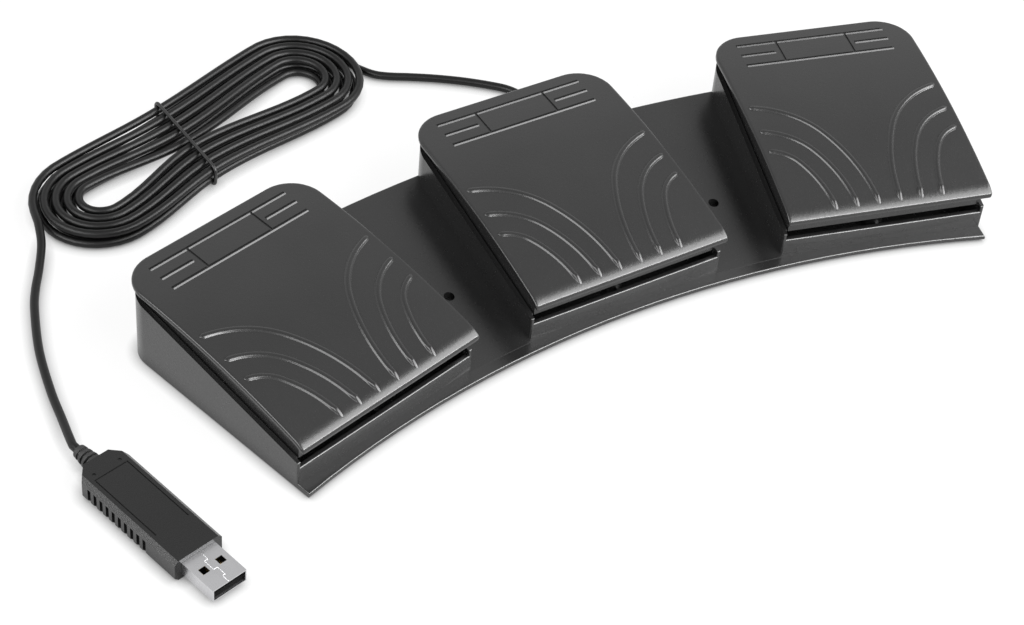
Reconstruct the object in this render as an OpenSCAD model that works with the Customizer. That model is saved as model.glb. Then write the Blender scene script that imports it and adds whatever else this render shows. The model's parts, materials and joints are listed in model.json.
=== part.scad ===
// Foot switch with three hinged pedals on one curved base, and a corded USB plug.
// Sizes are in millimetres. The pedals stand on a fan: each one points at the fan's centre, which lies
// in front of the object. In a pedal's own frame u runs to the right, v to the rear and z up, and v = 0
// is the pedal's reference line.

/* [Fan] */
// Angle between neighbouring pedals
fan_step = 14.7; // [14.4:0.1:16]
// Radius from the fan's centre to the pedals' reference lines
fan_r = 396; // [390:1:410]

/* [Pedal covers] */
// Width of a cover
cover_w = 72; // [71.9:0.1:73]
// Distance from the reference line to the nose edge
nose_reach = 31.9; // [31:0.1:33]
// Distance from the reference line to the rear edge
rear_reach = 51.5; // [51:0.1:53]
// Height of the cover's highest line
cover_top = 29.1; // [28.5:0.1:32]
// Thickness of the cover plate
cover_t = 1.6; // [1.2:0.1:2]
// Radius of the top's long curve
cover_arc_r = 309; // [295:1:330]
// Where along v the top is level
crest_v = 46; // [44:0.5:48]
// Radius of the nose bend
nose_r = 10; // [8:0.5:12]
// Slope at the nose edge, in degrees
nose_slope = 40; // [30:1:45]
// Radius of the rear corners
cover_corner_r = 12; // [10:0.5:13]
// Thickness of the skirt under the plate
skirt_t = 1.6; // [1.2:0.1:2]
// Height of the skirt's lower edge at the front
skirt_low = 10.6; // [10.4:0.1:12]
// Rise of the skirt's lower edge towards the rear, in millimetres per millimetre
skirt_rise = 0.086; // [0.08:0.002:0.1]
// Gap between the skirt and the box walls
skirt_gap = 0.4; // [0.35:0.05:0.6]
// Gap between the skirt and the rear wall, which the skirt nears as the pedal tilts
skirt_rear_gap = 0.6; // [0.5:0.05:0.8]

/* [Grip pattern] */
// Number of ridges on each side of a cover
ridge_count = 3; // [1:1:3]
// Spacing of the ridges at the nose
ridge_step = 7.5; // [6.5:0.1:8]
// Width of a ridge
ridge_w = 1.9; // [1.4:0.1:2.4]
// Height of a ridge
ridge_h = 0.6; // [0.4:0.1:0.9]
// Distance of the ridges' ends from the cover's side edges
ridge_margin = 2.2; // [1.5:0.1:3]
// Distance of the ridges' front ends from the nose edge
ridge_start = 2; // [1.5:0.1:3]
// Where along v the first ridge ends at the side
ridge_first_v = 15.6; // [14:0.2:17]
// How much nearer to the nose the second ridge ends
ridge_second_drop = 11; // [9:0.2:12]
// How much nearer to the nose the third ridge ends
ridge_third_drop = 19.6; // [18:0.2:21]
// Width of the fine grooves at the rear
groove_w = 0.9; // [0.6:0.1:1.2]
// Depth of the fine grooves
groove_d = 0.4; // [0.2:0.1:0.6]
// Half length of the long grooves
groove_half = 27; // [22:0.5:30]
// Half width of the bare rectangle between the cross grooves
panel_half = 12.7; // [10:0.1:15]
// Where along v the rear groove lies
groove_rear_v = 46.5; // [45:0.1:48]
// Depth of the bare rectangle, from groove to groove
panel_depth = 10.5; // [8:0.1:12]

/* [Base] */
// Width of a pedal box
box_w = 71.2; // [70.6:0.1:71.8]
// Distance from the reference line to the front wall's outer face
box_front = 29.5; // [29.2:0.1:30]
// Distance from the reference line to the rear wall's outer face
box_rear = 49.2; // [48.8:0.1:49.6]
// Wall of a pedal box
box_t = 1.6; // [1.4:0.1:1.8]
// Radius of a box's rear corners
box_corner_r = 10; // [9:0.5:11]
// Height of the side walls at the front
wall_front = 10.8; // [10:0.1:11]
// Rise of the side walls towards the rear, in millimetres per millimetre
wall_rise = 0.187; // [0.18:0.001:0.19]
// Height of the front wall between its two end horns
front_wall_top = 8.6; // [8:0.1:9]
// Width of the horns at the front wall's ends
horn_w = 1.2; // [1:0.1:1.5]
// Distance from the reference line to the flange's front edge
flange_reach = 32.8; // [31.5:0.1:33.5]
// Height of the flange's top
flange_top = 2.3; // [2.2:0.1:2.6]
// Distance from the reference line to the bridges' rear edge
bridge_rear = 45.5; // [44:0.5:46.5]
// Height of the bridges' rear edge
bridge_top = 12.8; // [12:0.1:14]
// Wall of the bridges
bridge_t = 1.8; // [1.5:0.1:2]
// Height of the base's lower edge above the ground
base_low = 0.5; // [0.3:0.1:0.7]
// Radius of the fixing holes in the bridges
fixing_r = 1.75; // [1.5:0.05:2]
// Distance of the fixing holes in front of the reference line's arc
fixing_front = 1.5; // [0:0.5:4]
// Wall of the posts round the holes and screws
post_wall = 2.1; // [1.8:0.1:2.4]

/* [Bottom] */
// Thickness of the bottom plate
plate_t = 2; // [1.8:0.1:2.4]
// Step from the base's lower edge up to the plate's underside
plate_step = 0.3; // [0.2:0.1:0.5]
// Gap between the bottom plate and the walls around it
plate_gap = 0.3; // [0.2:0.05:0.4]
// Shank radius of the bottom screws
screw_r = 1.1; // [0.9:0.1:1.3]
// Head radius of the bottom screws
screw_head_r = 2.3; // [2:0.1:2.6]
// Head height of the bottom screws
screw_head_h = 1.1; // [0.9:0.1:1.2]
// Shank length of the bottom screws
screw_l = 5; // [4:0.5:5]
// Radius of the rubber feet
foot_r = 5; // [4:0.5:6]
// Depth of a foot's seat in the plate
foot_seat = 0.6; // [0.4:0.1:0.8]

/* [Hinges and switches] */
// Distance from the reference line to the hinge rod
hinge_v = 37; // [36:0.5:38]
// Height of the hinge rod
hinge_z = 19.5; // [19:0.1:20]
// Radius of the hinge rod
rod_r = 1.5; // [1.2:0.1:1.7]
// Depth of the rod's seats in the side walls
rod_seat = 1; // [0.8:0.1:1.2]
// Running clearance round the rod
rod_gap = 0.05; // [0.03:0.01:0.08]
// Length of the hinge eyes inside the skirt
eye_l = 5; // [4:0.5:7]
// Wall of the hinge eyes
eye_wall = 2.4; // [2:0.1:2.8]
// Distance from the hinge rod forward to the switch
switch_arm = 17; // [16:0.5:18]
// Length of a switch body
switch_l = 19.8; // [18:0.1:21]
// Width of a switch body
switch_w = 6.4; // [5.8:0.1:7]
// Height of a switch body
switch_h = 10.2; // [9.6:0.1:10.6]
// Radius of a switch plunger
plunger_r = 1.2; // [1:0.1:1.6]
// How far a plunger stands out of its switch
plunger_out = 1.4; // [1.3:0.1:1.6]
// Running clearance round a plunger
plunger_gap = 0.05; // [0.03:0.01:0.08]
// Gap between a cover's pusher and the plunger at rest
push_gap = 0.4; // [0.4:0.05:0.5]
// Radius of a pusher
pusher_r = 2; // [1.6:0.1:2.4]
// Where along v the return spring stands
spring_v = -12; // [-13:0.5:-11]
// Mean radius of a return spring
spring_r = 4; // [3.6:0.1:4.4]
// Wire thickness of a return spring
spring_wire = 0.9; // [0.7:0.1:1]
// Turns of a return spring
spring_turns = 6; // [4:1:7]
// Height of a return spring
spring_h = 15; // [13:0.5:16]
// Gap at the ends and the inside of a return spring
spring_gap = 0.3; // [0.3:0.05:0.5]

/* [Electronics] */
// Length of the circuit board
board_l = 46; // [42:0.5:48]
// Depth of the circuit board
board_d = 15; // [13:0.5:16]
// Thickness of the circuit board
board_t = 1.6; // [1.2:0.1:1.6]
// Where along v the middle of the board lies
board_v = 5; // [4:0.5:6]
// Height of the posts that carry the board
board_post_h = 4; // [3.5:0.1:5]
// Side of the controller chip
chip_side = 7; // [5:0.5:9]
// Height of the controller chip
chip_h = 1.4; // [1:0.1:2]
// Length of a wire socket
socket_l = 7.5; // [6:0.5:8]
// Depth of a wire socket
socket_d = 4.6; // [4:0.1:5]
// Height of a wire socket
socket_h = 5; // [4:0.1:6]
// Radius of the switch wires
wire_r = 0.9; // [0.7:0.05:1]

/* [Cord] */
// Thickness of the cord
cord_d = 2.8; // [2.6:0.1:2.8]
// Distance from the middle of the rear wall to the cord's exit
exit_u = 22; // [20:0.5:22]
// Height of the cord's exit
exit_z = 6.6; // [6.5:0.1:7.5]
// How far the grommet stands out of the rear wall
grommet_out = 6; // [5:0.5:6]
// Radius of the grommet's collars
grommet_r = 3.4; // [3.2:0.1:3.6]
// Thickness of the grommet's collars
grommet_collar = 1.2; // [1:0.1:1.4]
// Turns of the hank that wind inwards on the lower layer
hank_turns = 4; // [2:1:4]
// Step from turn to turn at the hank's ends
hank_step = 3.65; // [3.6:0.05:3.75]
// Step from the lower to the upper layer
hank_layer = 3.4; // [3.3:0.05:3.6]
// Radius of the outer turn at the hank's ends
hank_r = 22; // [21.8:0.1:22.6]
// Length of the hank's straight runs to the right of the tie
hank_right = 52; // [48:1:54]
// Length of the hank's straight runs to the left of the tie
hank_left = 38; // [36:1:40]
// How far the outer turn is drawn in at the tie
hank_waist = 2.9; // [2:0.1:4]
// How much wider the step from turn to turn is at the tie
hank_waist_step = 0.65; // [0.5:0.05:0.8]
// Width of the tie
tie_w = 1.6; // [1.5:0.1:3]
// Thickness of the tie
tie_t = 0.8; // [0.6:0.1:0.9]

/* [Plug] */
// Length of the plug's housing
plug_l = 46; // [40:0.5:48]
// Width of the plug's housing
plug_w = 17; // [16:0.1:18]
// Thickness of the plug's housing
plug_h = 7.8; // [7.6:0.1:9]
// Cut of the housing's tail corners
plug_chamfer = 4; // [3:0.5:5]
// Cut of the housing's long edges
plug_edge = 1.3; // [0.8:0.1:1.5]
// Number of grip slots on each side of the housing
plug_slots = 10; // [6:1:12]
// Length of the strain relief
boot_l = 8; // [7:0.5:10]
// Radius of the strain relief where it meets the housing
boot_r = 3.3; // [3:0.1:3.6]
// Width of the metal shell
shell_w = 12; // [11.9:0.05:12.1]
// Height of the metal shell
shell_h = 4.5; // [4.4:0.05:4.6]
// Sheet thickness of the metal shell
shell_t = 0.35; // [0.3:0.01:0.4]
// How far the metal shell stands out of the housing
shell_out = 13.5; // [11.75:0.05:14]
// How far the metal shell goes into the housing
shell_in = 5; // [4:0.5:6]
// Side of the square windows in the metal shell
window_side = 2.4; // [2:0.1:2.6]
// Thickness of the tongue inside the shell
tongue_t = 1.84; // [1.6:0.02:2]

/* [Hidden] */

$fn = 64;
// A little more than a flush cut needs
over = 0.5;
// Taller than the whole object
tall = 60;
// Gap between flat faces that only rest on each other
rest_gap = 0.05;
left = -1;
centre = 0;
right = 1;

// The fan's centre stands so that the object's middle lies at the origin
flange_r = fan_r - flange_reach;
tip_w = sqrt(pow(flange_r, 2) - pow(box_w / 2, 2));
front_y = tip_w * cos(fan_step) - box_w / 2 * sin(fan_step);
rear_y = fan_r + rear_reach;
fan_y = (front_y + rear_y) / 2;

// Cover: the nose bend starts where its own circle touches the long curve
nose_start = asin((crest_v + nose_reach - nose_r * sin(nose_slope)) / (cover_arc_r - nose_r));
arc_z = cover_top - cover_arc_r;
nose_v = crest_v - (cover_arc_r - nose_r) * sin(nose_start);
nose_z = arc_z + (cover_arc_r - nose_r) * cos(nose_start);
inner_half = box_w / 2 - box_t;
inner_front = box_front - box_t;
inner_rear = box_rear - box_t;
inner_corner_r = box_corner_r - box_t;
skirt_half = inner_half - skirt_gap;
skirt_front = inner_front - skirt_gap;
skirt_rear = inner_rear - skirt_rear_gap;
skirt_corner_r = inner_corner_r - skirt_gap;
rib_t = 1.4;
rib_deep = 3;
rib_u = 16;
rib_front = 8;

// Base heights and radii
bridge_r = fan_r + bridge_rear;
slope_r = flange_r + 3;
bridge_rise = (bridge_top - flange_top) / (bridge_r - slope_r);
cavity_r = slope_r + 8;
plate_low = base_low + plate_step;
plate_top = plate_low + plate_t;
plate_front_r = slope_r + (plate_top + bridge_t + rest_gap - flange_top) / bridge_rise + 1;
fixing_at = fan_r - fixing_front;
fixing_post_r = fixing_r + post_wall;
screw_post_r = screw_r + post_wall;
screw_post_h = screw_l + 1;
bridge_screw_v = 32;
bridge_screw_r = fan_r + bridge_screw_v;
front_screw_inset = 7;
rear_screw_inset = 6.6;
side_screw_inset = 4;
front_screw_v = front_screw_inset - inner_front;
rear_screw_v = inner_rear - rear_screw_inset;
side_screw_u = inner_half - side_screw_inset;
side_screw_v = 10;
foot_inset = 10;
foot_rear_inset = 13.6;
foot_h = plate_low + foot_seat;
foot_u = inner_half - foot_inset;
foot_front_v = foot_inset - inner_front;
foot_rear_v = inner_rear - foot_rear_inset;
notch_w = 5;
notch_h = 3.8;
notch_top = plate_top + notch_h;
notch_v = hinge_v - switch_arm;

// Switches, springs and board
switch_v = hinge_v - switch_arm;
switch_top = plate_top + switch_h;
plunger_top = switch_top + plunger_out;
plunger_foot = 2;
plunger_drop = 1.5;
spring_low = plate_top + spring_gap + spring_wire / 2;
spring_high = spring_low + spring_h;
spring_core = spring_r - spring_wire / 2 - spring_gap;
spring_seat_r = spring_r + spring_wire / 2 + 1;
spring_seat_z = spring_high + spring_wire / 2 + spring_gap;
board_low = plate_top + board_post_h;
board_high = board_low + board_t;
board_post_u = board_l / 2 - 5;
board_post_r = 2.2;
socket_inset = 0.5;
socket_u = board_l / 2 - socket_d / 2 - socket_inset;
socket_v = board_v + board_d / 2 - socket_d / 2 - socket_inset;
switch_socket_u = -12;
cord_socket_u = 13;
wire_z = plate_top + 2;
socket_z = board_high + socket_h / 2;

// Cord route. Points are x, y and z of the cord's middle, from the grommet to the plug.
cord_r = cord_d / 2;
rear_wall_y = fan_r - fan_y + box_rear;
floor_z = cord_r + 0.2;
lead_start = [exit_u, rear_wall_y + grommet_out, exit_z];
lead_points = [[22.3, 63.4, 5.9], [24, 68, 4.2], [25.5, 73, 2.7], [25.6, 78, 1.9], [23.6, 83, floor_z],
    [20, 87, floor_z], [12.5, 93.4, floor_z], [4, 99.4, floor_z], [-4, 104.2, floor_z],
    [-10.5, 107.8, floor_z], [-14.8, 111.2, floor_z]];
tail_points = [[-152.3, 78.8, 3.2], [-157, 69.8, 1.9], [-161.8, 61.5, floor_z], [-165.6, 53.2, floor_z],
    [-171.3, 36.4, floor_z], [-175, 19.2, floor_z], [-176.9, 6.5, 2.2]];

// Hank: its middle lies under the tie. The runs lie along its axis and the turns go counter-clockwise.
hank_at = [-90.7, 101.2];
hank_turned = 17.6;
// How much wider the hank grows with each millimetre to the right
hank_taper = 0.001;
// How far the last turn stands outside the first
hank_proud = 0.4;
// Rings to a turn, and the sides of the tube
turn_rings = 24;
hank_sides = 6;
// Shares of a turn at which the cord enters, climbs to the upper layer and leaves
hank_enter = 0.12;
hank_climb = 0.25;
hank_leave = 0.59;
climb_start = hank_turns + hank_climb - hank_enter;
climb_end = climb_start + hank_climb;
hank_end = 2 * hank_turns + hank_leave - hank_enter;
tie_gap = 0.4;
tie_corner_r = 3;
tie_turned = 14;
hank_lift = tie_t + tie_gap;

// Plug: its own x runs from the strain relief's tail to the shell's mouth
plug_at = [-178.3, -9.3];
plug_turned = -76.2;
plug_z = plug_h / 2;
shell_start = boot_l + plug_l;
tail_end = concat(plug_at, [plug_z]);

// A point of pedal i's frame, in the part's frame
function placed(i, u, v, z) =
    let (a = -i * fan_step, w = fan_r + v)
    [u * cos(a) - w * sin(a), u * sin(a) + w * cos(a) - fan_y, z];

// Puts children into pedal i's frame
module at_pedal(i) {
    translate([0, -fan_y, 0]) rotate([0, 0, -i * fan_step]) translate([0, fan_r, 0]) children();
}

// Puts children on the fan's centre
module at_fan() {
    translate([0, -fan_y, 0]) children();
}

// A footprint with a straight front and two round rear corners
module footprint(half, front, rear, corner) {
    translate([-half, -front]) square([2 * half, front + rear - corner]);
    translate([-half + corner, -front]) square([2 * (half - corner), front + rear]);
    for (s = [-1, 1]) translate([s * (half - corner), rear - corner]) circle(corner);
}

// Extrudes a side view, drawn in v and z, along u over a width
module along_u(width) {
    rotate([90, 0, 90]) linear_extrude(width, center = true) children();
}

// A wedge of the plane between two bearings from +Y, positive to the right
module bearing_wedge(from, to, reach) {
    middle = (from + to) / 2;
    polygon([[0, 0], for (b = [from, middle, to]) reach * [sin(b), cos(b)]]);
}

// Sweeps a round tube of a given number of sides along points
function unit(a) = a / norm(a);
function tangent(points, k) =
    unit(points[min(k + 1, len(points) - 1)] - points[max(k - 1, 0)]);
function ring(p, t, r, sides) =
    let (side = unit(cross([0, 0, 1], t)), up = cross(t, side))
    [for (j = [0 : sides - 1]) let (a = 360 * j / sides) p + r * (cos(a) * side + sin(a) * up)];
module tube(points, r, sides) {
    rings = [for (k = [0 : len(points) - 1]) each ring(points[k], tangent(points, k), r, sides)];
    walls = [for (k = [0 : len(points) - 2]) for (j = [0 : sides - 1])
        let (a = k * sides + j, b = k * sides + (j + 1) % sides)
        each [[a, a + sides, b], [b, a + sides, b + sides]]];
    first = [for (j = [1 : sides - 2]) [0, j, j + 1]];
    base = (len(points) - 1) * sides;
    last = [for (j = [1 : sides - 2]) [base, base + j + 1, base + j]];
    polyhedron(rings, concat(walls, first, last));
}

// A smooth curve through points, with a few steps between neighbours and a straight stretch at each end
function smooth_at(a, b, c, d, t) =
    0.5 * (2 * b + (c - a) * t + (2 * a - 5 * b + 4 * c - d) * t * t + (3 * b - a - 3 * c + d) * t * t * t);
function smooth(points, steps) =
    let (n = len(points))
    concat([points[0]], [for (k = [1 : n - 3]) for (j = [0 : steps - 1])
        smooth_at(points[k - 1], points[k], points[k + 1], points[k + 2], j / steps)],
        [points[n - 2], points[n - 1]]);

// A point on the hank after a number of turns
function hank_inset(turn) =
    turn < climb_start ? hank_step * turn
    : turn < climb_end ? hank_step * climb_start
    : (hank_step * climb_start + hank_proud) * (hank_end - turn) / (hank_end - climb_end) - hank_proud;
function hank_rise(turn) =
    hank_layer * min(1, max(0, (turn - climb_start) / (climb_end - climb_start)));
function hank_draw(s) =
    let (run = s > 0 ? hank_right : hank_left)
    abs(s) < run ? (1 + cos(180 * s / run)) / 2 : 0;
function hank_flat(f, r, draw) =
    f < 0.25 ? let (a = 720 * f - 90) [hank_right + r * cos(a), r * sin(a)]
    : f < 0.5 ? let (s = hank_right - (hank_right + hank_left) * (f - 0.25) * 4) [s, r - draw * hank_draw(s)]
    : f < 0.75 ? let (a = 90 + 720 * (f - 0.5)) [r * cos(a) - hank_left, r * sin(a)]
    : let (s = (hank_right + hank_left) * (f - 0.75) * 4 - hank_left) [s, draw * hank_draw(s) - r];
function hank_point(turn) =
    let (f = (turn + hank_enter) % 1,
        inset = hank_inset(turn),
        p = hank_flat(f, hank_r - inset, hank_waist + inset / hank_step * hank_waist_step),
        s = p[0],
        q = p[1] * (1 + hank_taper * s),
        z = floor_z + hank_rise(turn) + hank_lift * hank_draw(s))
    [hank_at[0] + s * cos(hank_turned) - q * sin(hank_turned),
        hank_at[1] + s * sin(hank_turned) + q * cos(hank_turned), z];
hank_steps = round(hank_end * turn_rings);
hank_path = [for (k = [0 : hank_steps]) hank_point(hank_end * k / hank_steps)];
hank_nudge = 0.001;
hank_in = unit(hank_point(hank_nudge) - hank_path[0]);
hank_out = unit(hank_path[hank_steps] - hank_point(hank_end - hank_nudge));
hank_first = hank_path[0] - cord_d * hank_in;
hank_last = hank_path[hank_steps] + cord_d * hank_out;

// Least gap of the hank to itself, between points that are not neighbours along the cord
function point_gap(a, b, c) =
    let (t = min(1, max(0, (a - b) * (c - b) / ((c - b) * (c - b)))))
    norm(a - b - t * (c - b));
hank_clear = min([for (k = [0 : hank_steps]) for (j = [0 : hank_steps - 1])
    if (abs(j - k) > turn_rings / 4 && abs(j + 1 - k) > turn_rings / 4)
        point_gap(hank_path[k], hank_path[j], hank_path[j + 1])]) - cord_d;
echo(hank_least_gap = hank_clear);

plug_way = [cos(plug_turned), sin(plug_turned), 0];
lead_path = smooth(concat([lead_start, lead_start + [0, cord_d, 0]], lead_points,
    [hank_first - cord_d * hank_in, hank_first]), 2);
tail_path = smooth(concat([hank_last, hank_last + cord_d * hank_out], tail_points,
    [tail_end - cord_d * plug_way, tail_end]), 2);

// Side view of the cover plate, thinned by an inset from its top face
module plate_side(depth, thick) {
    far = 2 * nose_r;
    intersection() {
        difference() {
            translate([crest_v, arc_z]) circle(cover_arc_r - depth, $fn = 360);
            translate([crest_v, arc_z]) circle(cover_arc_r - depth - thick, $fn = 360);
        }
        polygon([[crest_v, arc_z], [crest_v, arc_z] + 2 * cover_arc_r * [-sin(nose_start), cos(nose_start)],
            [rear_reach + over, tall], [rear_reach + over, 0]]);
    }
    intersection() {
        difference() {
            translate([nose_v, nose_z]) circle(nose_r - depth);
            translate([nose_v, nose_z]) circle(nose_r - depth - thick);
        }
        polygon([[nose_v, nose_z], [nose_v, nose_z] + far * [-sin(nose_slope), cos(nose_slope)],
            [nose_v, nose_z] + far * [-sin(nose_start), cos(nose_start)]]);
    }
}

// Middle line of one ridge: a long arc that rises from the nose, then a short arc that turns to the side
function ridge_line(number) =
    let (drop = [0, ridge_second_drop, ridge_third_drop][number],
        turn_at = 60,
        end_slope = 10,
        nose_u = ridge_step * (number + 0.5),
        run_u = cover_w / 2 - ridge_margin - nose_u,
        run_v = ridge_first_v - drop + nose_reach,
        a = 1 - sin(turn_at),
        b = sin(turn_at) - sin(end_slope),
        c = cos(turn_at),
        d = cos(end_slope) - cos(turn_at),
        long_r = (run_u * d - b * run_v) / (a * d - b * c),
        short_r = (a * run_v - run_u * c) / (a * d - b * c),
        long_c = [nose_u + long_r, -nose_reach],
        short_c = long_c + (long_r - short_r) * [-sin(turn_at), cos(turn_at)],
        start = 90 - asin(ridge_start / long_r))
    concat([for (k = [0 : 4]) let (t = start + (turn_at - start) * k / 5) long_c + long_r * [-sin(t), cos(t)]],
        [for (k = [0 : 7]) let (t = turn_at + (end_slope - turn_at) * k / 7) short_c + short_r * [-sin(t), cos(t)]]);

// Height of the cover's top face at a place along v, the nose bend too
function top_face(v) =
    v > crest_v - cover_arc_r * sin(nose_start) ? cover_face(v, 0) : nose_z + sqrt(pow(nose_r, 2) - pow(v - nose_v, 2));

// One raised ridge: a bar with a rounded back, swept along its middle line
module ridge(number, side) {
    line = ridge_line(number);
    last = len(line) - 1;
    sunk = cover_t / 2;
    back = [[-ridge_w / 2, -sunk], [ridge_w / 2, -sunk], [ridge_w / 2, ridge_h / 2], [ridge_w / 4, ridge_h],
        [-ridge_w / 4, ridge_h], [-ridge_w / 2, ridge_h / 2]];
    n = len(back);
    rings = [for (k = [0 : last]) let (t = unit(line[min(k + 1, last)] - line[max(k - 1, 0)])) for (q = back)
        [side * (line[k][0] + q[0] * t[1]), line[k][1] - q[0] * t[0], top_face(line[k][1]) + q[1]]];
    walls = [for (k = [0 : last - 1]) for (j = [0 : n - 1])
        let (a = k * n + j, b = k * n + (j + 1) % n)
        each [[a, a + n, b], [b, a + n, b + n]]];
    ends = concat([for (j = [1 : n - 2]) [0, j, j + 1]],
        [for (j = [1 : n - 2]) [last * n, last * n + j + 1, last * n + j]]);
    faces = concat(walls, ends);
    polyhedron(rings, side < 0 ? faces : [for (f = faces) [f[0], f[2], f[1]]]);
}

// Raised ridges of both sides, standing on the top face
module ridges() {
    for (side = [-1, 1]) for (k = [0 : ridge_count - 1]) ridge(k, side);
}

// Fine grooves round the bare rectangle
module groove_plan() {
    groove_front_v = groove_rear_v - panel_depth;
    short_start = panel_half + 1.8;
    for (v = [groove_front_v, groove_rear_v])
        translate([-groove_half, v - groove_w / 2]) square([2 * groove_half, groove_w]);
    for (s = [-1, 1]) {
        translate([s * panel_half - groove_w / 2, groove_front_v]) square([groove_w, panel_depth]);
        translate([s * (short_start + groove_half) / 2, (groove_front_v + groove_rear_v) / 2])
            square([groove_half - short_start, groove_w], center = true);
    }
}

// Height of the cover's top face, inset by a depth, at a place along v
function cover_face(v, depth) = arc_z + sqrt(pow(cover_arc_r - depth, 2) - pow(v - crest_v, 2));

// The space under the top face, less half the plate's thickness
module under_face() {
    translate([crest_v, arc_z]) circle(cover_arc_r - cover_t / 2, $fn = 360);
}

// The part of that space above the skirt's lower edge
module skirt_side() {
    rear = rear_reach + over;
    intersection() {
        under_face();
        polygon([[-skirt_front, skirt_low], [rear, skirt_low + skirt_rise * (rear + skirt_front)],
            [rear, tall], [-skirt_front, tall]]);
    }
}

module pedal_cover(i) {
    pusher_low = plunger_top + push_gap;
    under = cover_t / 2;
    eye_r = rod_r + rod_gap + eye_wall;
    color("#3c3c3e") at_pedal(i) difference() {
        union() {
            intersection() {
                along_u(cover_w + 2 * over) plate_side(0, cover_t);
                linear_extrude(tall) footprint(cover_w / 2, nose_reach + over, rear_reach, cover_corner_r);
            }
            ridges();
            intersection() {
                along_u(box_w) skirt_side();
                linear_extrude(tall) difference() {
                    footprint(skirt_half, skirt_front, skirt_rear, skirt_corner_r);
                    footprint(skirt_half - skirt_t, skirt_front - skirt_t, skirt_rear - skirt_t,
                        skirt_corner_r - skirt_t);
                }
            }
            intersection() {
                along_u(cover_w) plate_side(under, cover_t - under + rib_deep);
                for (s = [-1, 1]) translate([s * rib_u - rib_t / 2, -skirt_front + rib_front, 0])
                    cube([rib_t, skirt_front - rib_front + hinge_v, tall]);
            }
            for (s = [-1, 1]) translate([s * (skirt_half - eye_l / 2), hinge_v, hinge_z])
                rotate([0, 90, 0]) cylinder(eye_l, eye_r, eye_r, center = true);
            for (s = [-1, 1]) translate([s * (skirt_half - eye_l / 2), hinge_v, 0])
                translate([-eye_l / 2, -eye_wall / 2, hinge_z + rod_r + rod_gap])
                    cube([eye_l, eye_wall, cover_face(hinge_v, under) - hinge_z - rod_r - rod_gap]);
            intersection() {
                along_u(box_w) under_face();
                union() {
                    translate([0, switch_v, pusher_low]) cylinder(tall, pusher_r, pusher_r);
                    translate([0, spring_v, spring_seat_z]) cylinder(tall, spring_seat_r, spring_seat_r);
                }
            }
            translate([0, spring_v, spring_seat_z - 3]) cylinder(3 + over, spring_core, spring_core);
        }
        translate([0, hinge_v, hinge_z]) rotate([0, 90, 0])
            cylinder(2 * skirt_half + 2 * over, rod_r + rod_gap, rod_r + rod_gap, center = true);
        intersection() {
            along_u(cover_w) plate_side(-over, groove_d + over);
            linear_extrude(tall) groove_plan();
        }
    }
}

// Footprint of the space inside a box
module inner_plan(gap) {
    footprint(inner_half - gap, inner_front - gap, inner_rear - gap, inner_corner_r - gap);
}

// Plan of the bottom plate, less a gap all round
module bottom_plan(gap) {
    difference() {
        intersection() {
            difference() {
                circle(bridge_r - bridge_t - gap, $fn = 360);
                circle(plate_front_r + gap, $fn = 360);
            }
            bearing_wedge(-fan_step, fan_step, 2 * fan_r);
        }
        for (s = [-1, 1]) rotate(-s * fan_step / 2) translate([0, fixing_at]) circle(fixing_post_r + gap);
    }
    for (i = [left : right]) rotate(-i * fan_step) translate([0, fan_r]) inner_plan(gap);
}

// Places for the bottom screws, each in its own frame
module at_screws() {
    for (i = [left : right]) at_pedal(i) {
        translate([0, front_screw_v, 0]) children();
        translate([0, rear_screw_v, 0]) children();
    }
    for (s = [left, right]) at_pedal(s) translate([s * side_screw_u, side_screw_v, 0]) children();
    at_fan() for (s = [-1, 1]) rotate(-s * fan_step / 2) translate([0, bridge_screw_r, 0]) children();
}

// Wedge-shaped walls of one box
module box_walls() {
    reach = box_front + box_rear;
    intersection() {
        translate([0, 0, base_low]) linear_extrude(tall)
            footprint(box_w / 2, box_front, box_rear, box_corner_r);
        along_u(box_w + over) polygon([[-box_front - over, 0], [-box_front - over, wall_front],
            [-box_front, wall_front], [box_rear + over, wall_front + wall_rise * (reach + over)],
            [box_rear + over, 0]]);
    }
}

// Flat flange along the whole front, cut square at both ends
module front_flange() {
    spread = fan_step + 2 * asin(box_w / 2 / flange_r);
    difference() {
        at_fan() rotate([0, 0, 90 - spread]) rotate_extrude(angle = 2 * spread, $fn = 360)
            translate([flange_r, base_low]) square([flange_reach - inner_front + 4, flange_top - base_low]);
        for (s = [left, right]) at_pedal(s) translate([s * box_w - box_w / 2, -box_w, 0])
            cube([box_w, 2 * box_w, tall]);
    }
}

// The curved strip with its sloping bridges, hollow underneath
module bridge_strip() {
    roof = bridge_rise * bridge_t;
    start_r = slope_r + 1;
    rotate([0, 0, 90 - fan_step]) rotate_extrude(angle = 2 * fan_step, $fn = 360) difference() {
        polygon([[start_r, base_low], [start_r, flange_top + bridge_rise],
            [bridge_r, bridge_top], [bridge_r, base_low]]);
        polygon([[cavity_r, 0], [cavity_r, flange_top + bridge_rise * (cavity_r - slope_r) - bridge_t],
            [bridge_r - bridge_t, bridge_top - roof - bridge_t], [bridge_r - bridge_t, 0]]);
    }
}

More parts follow.
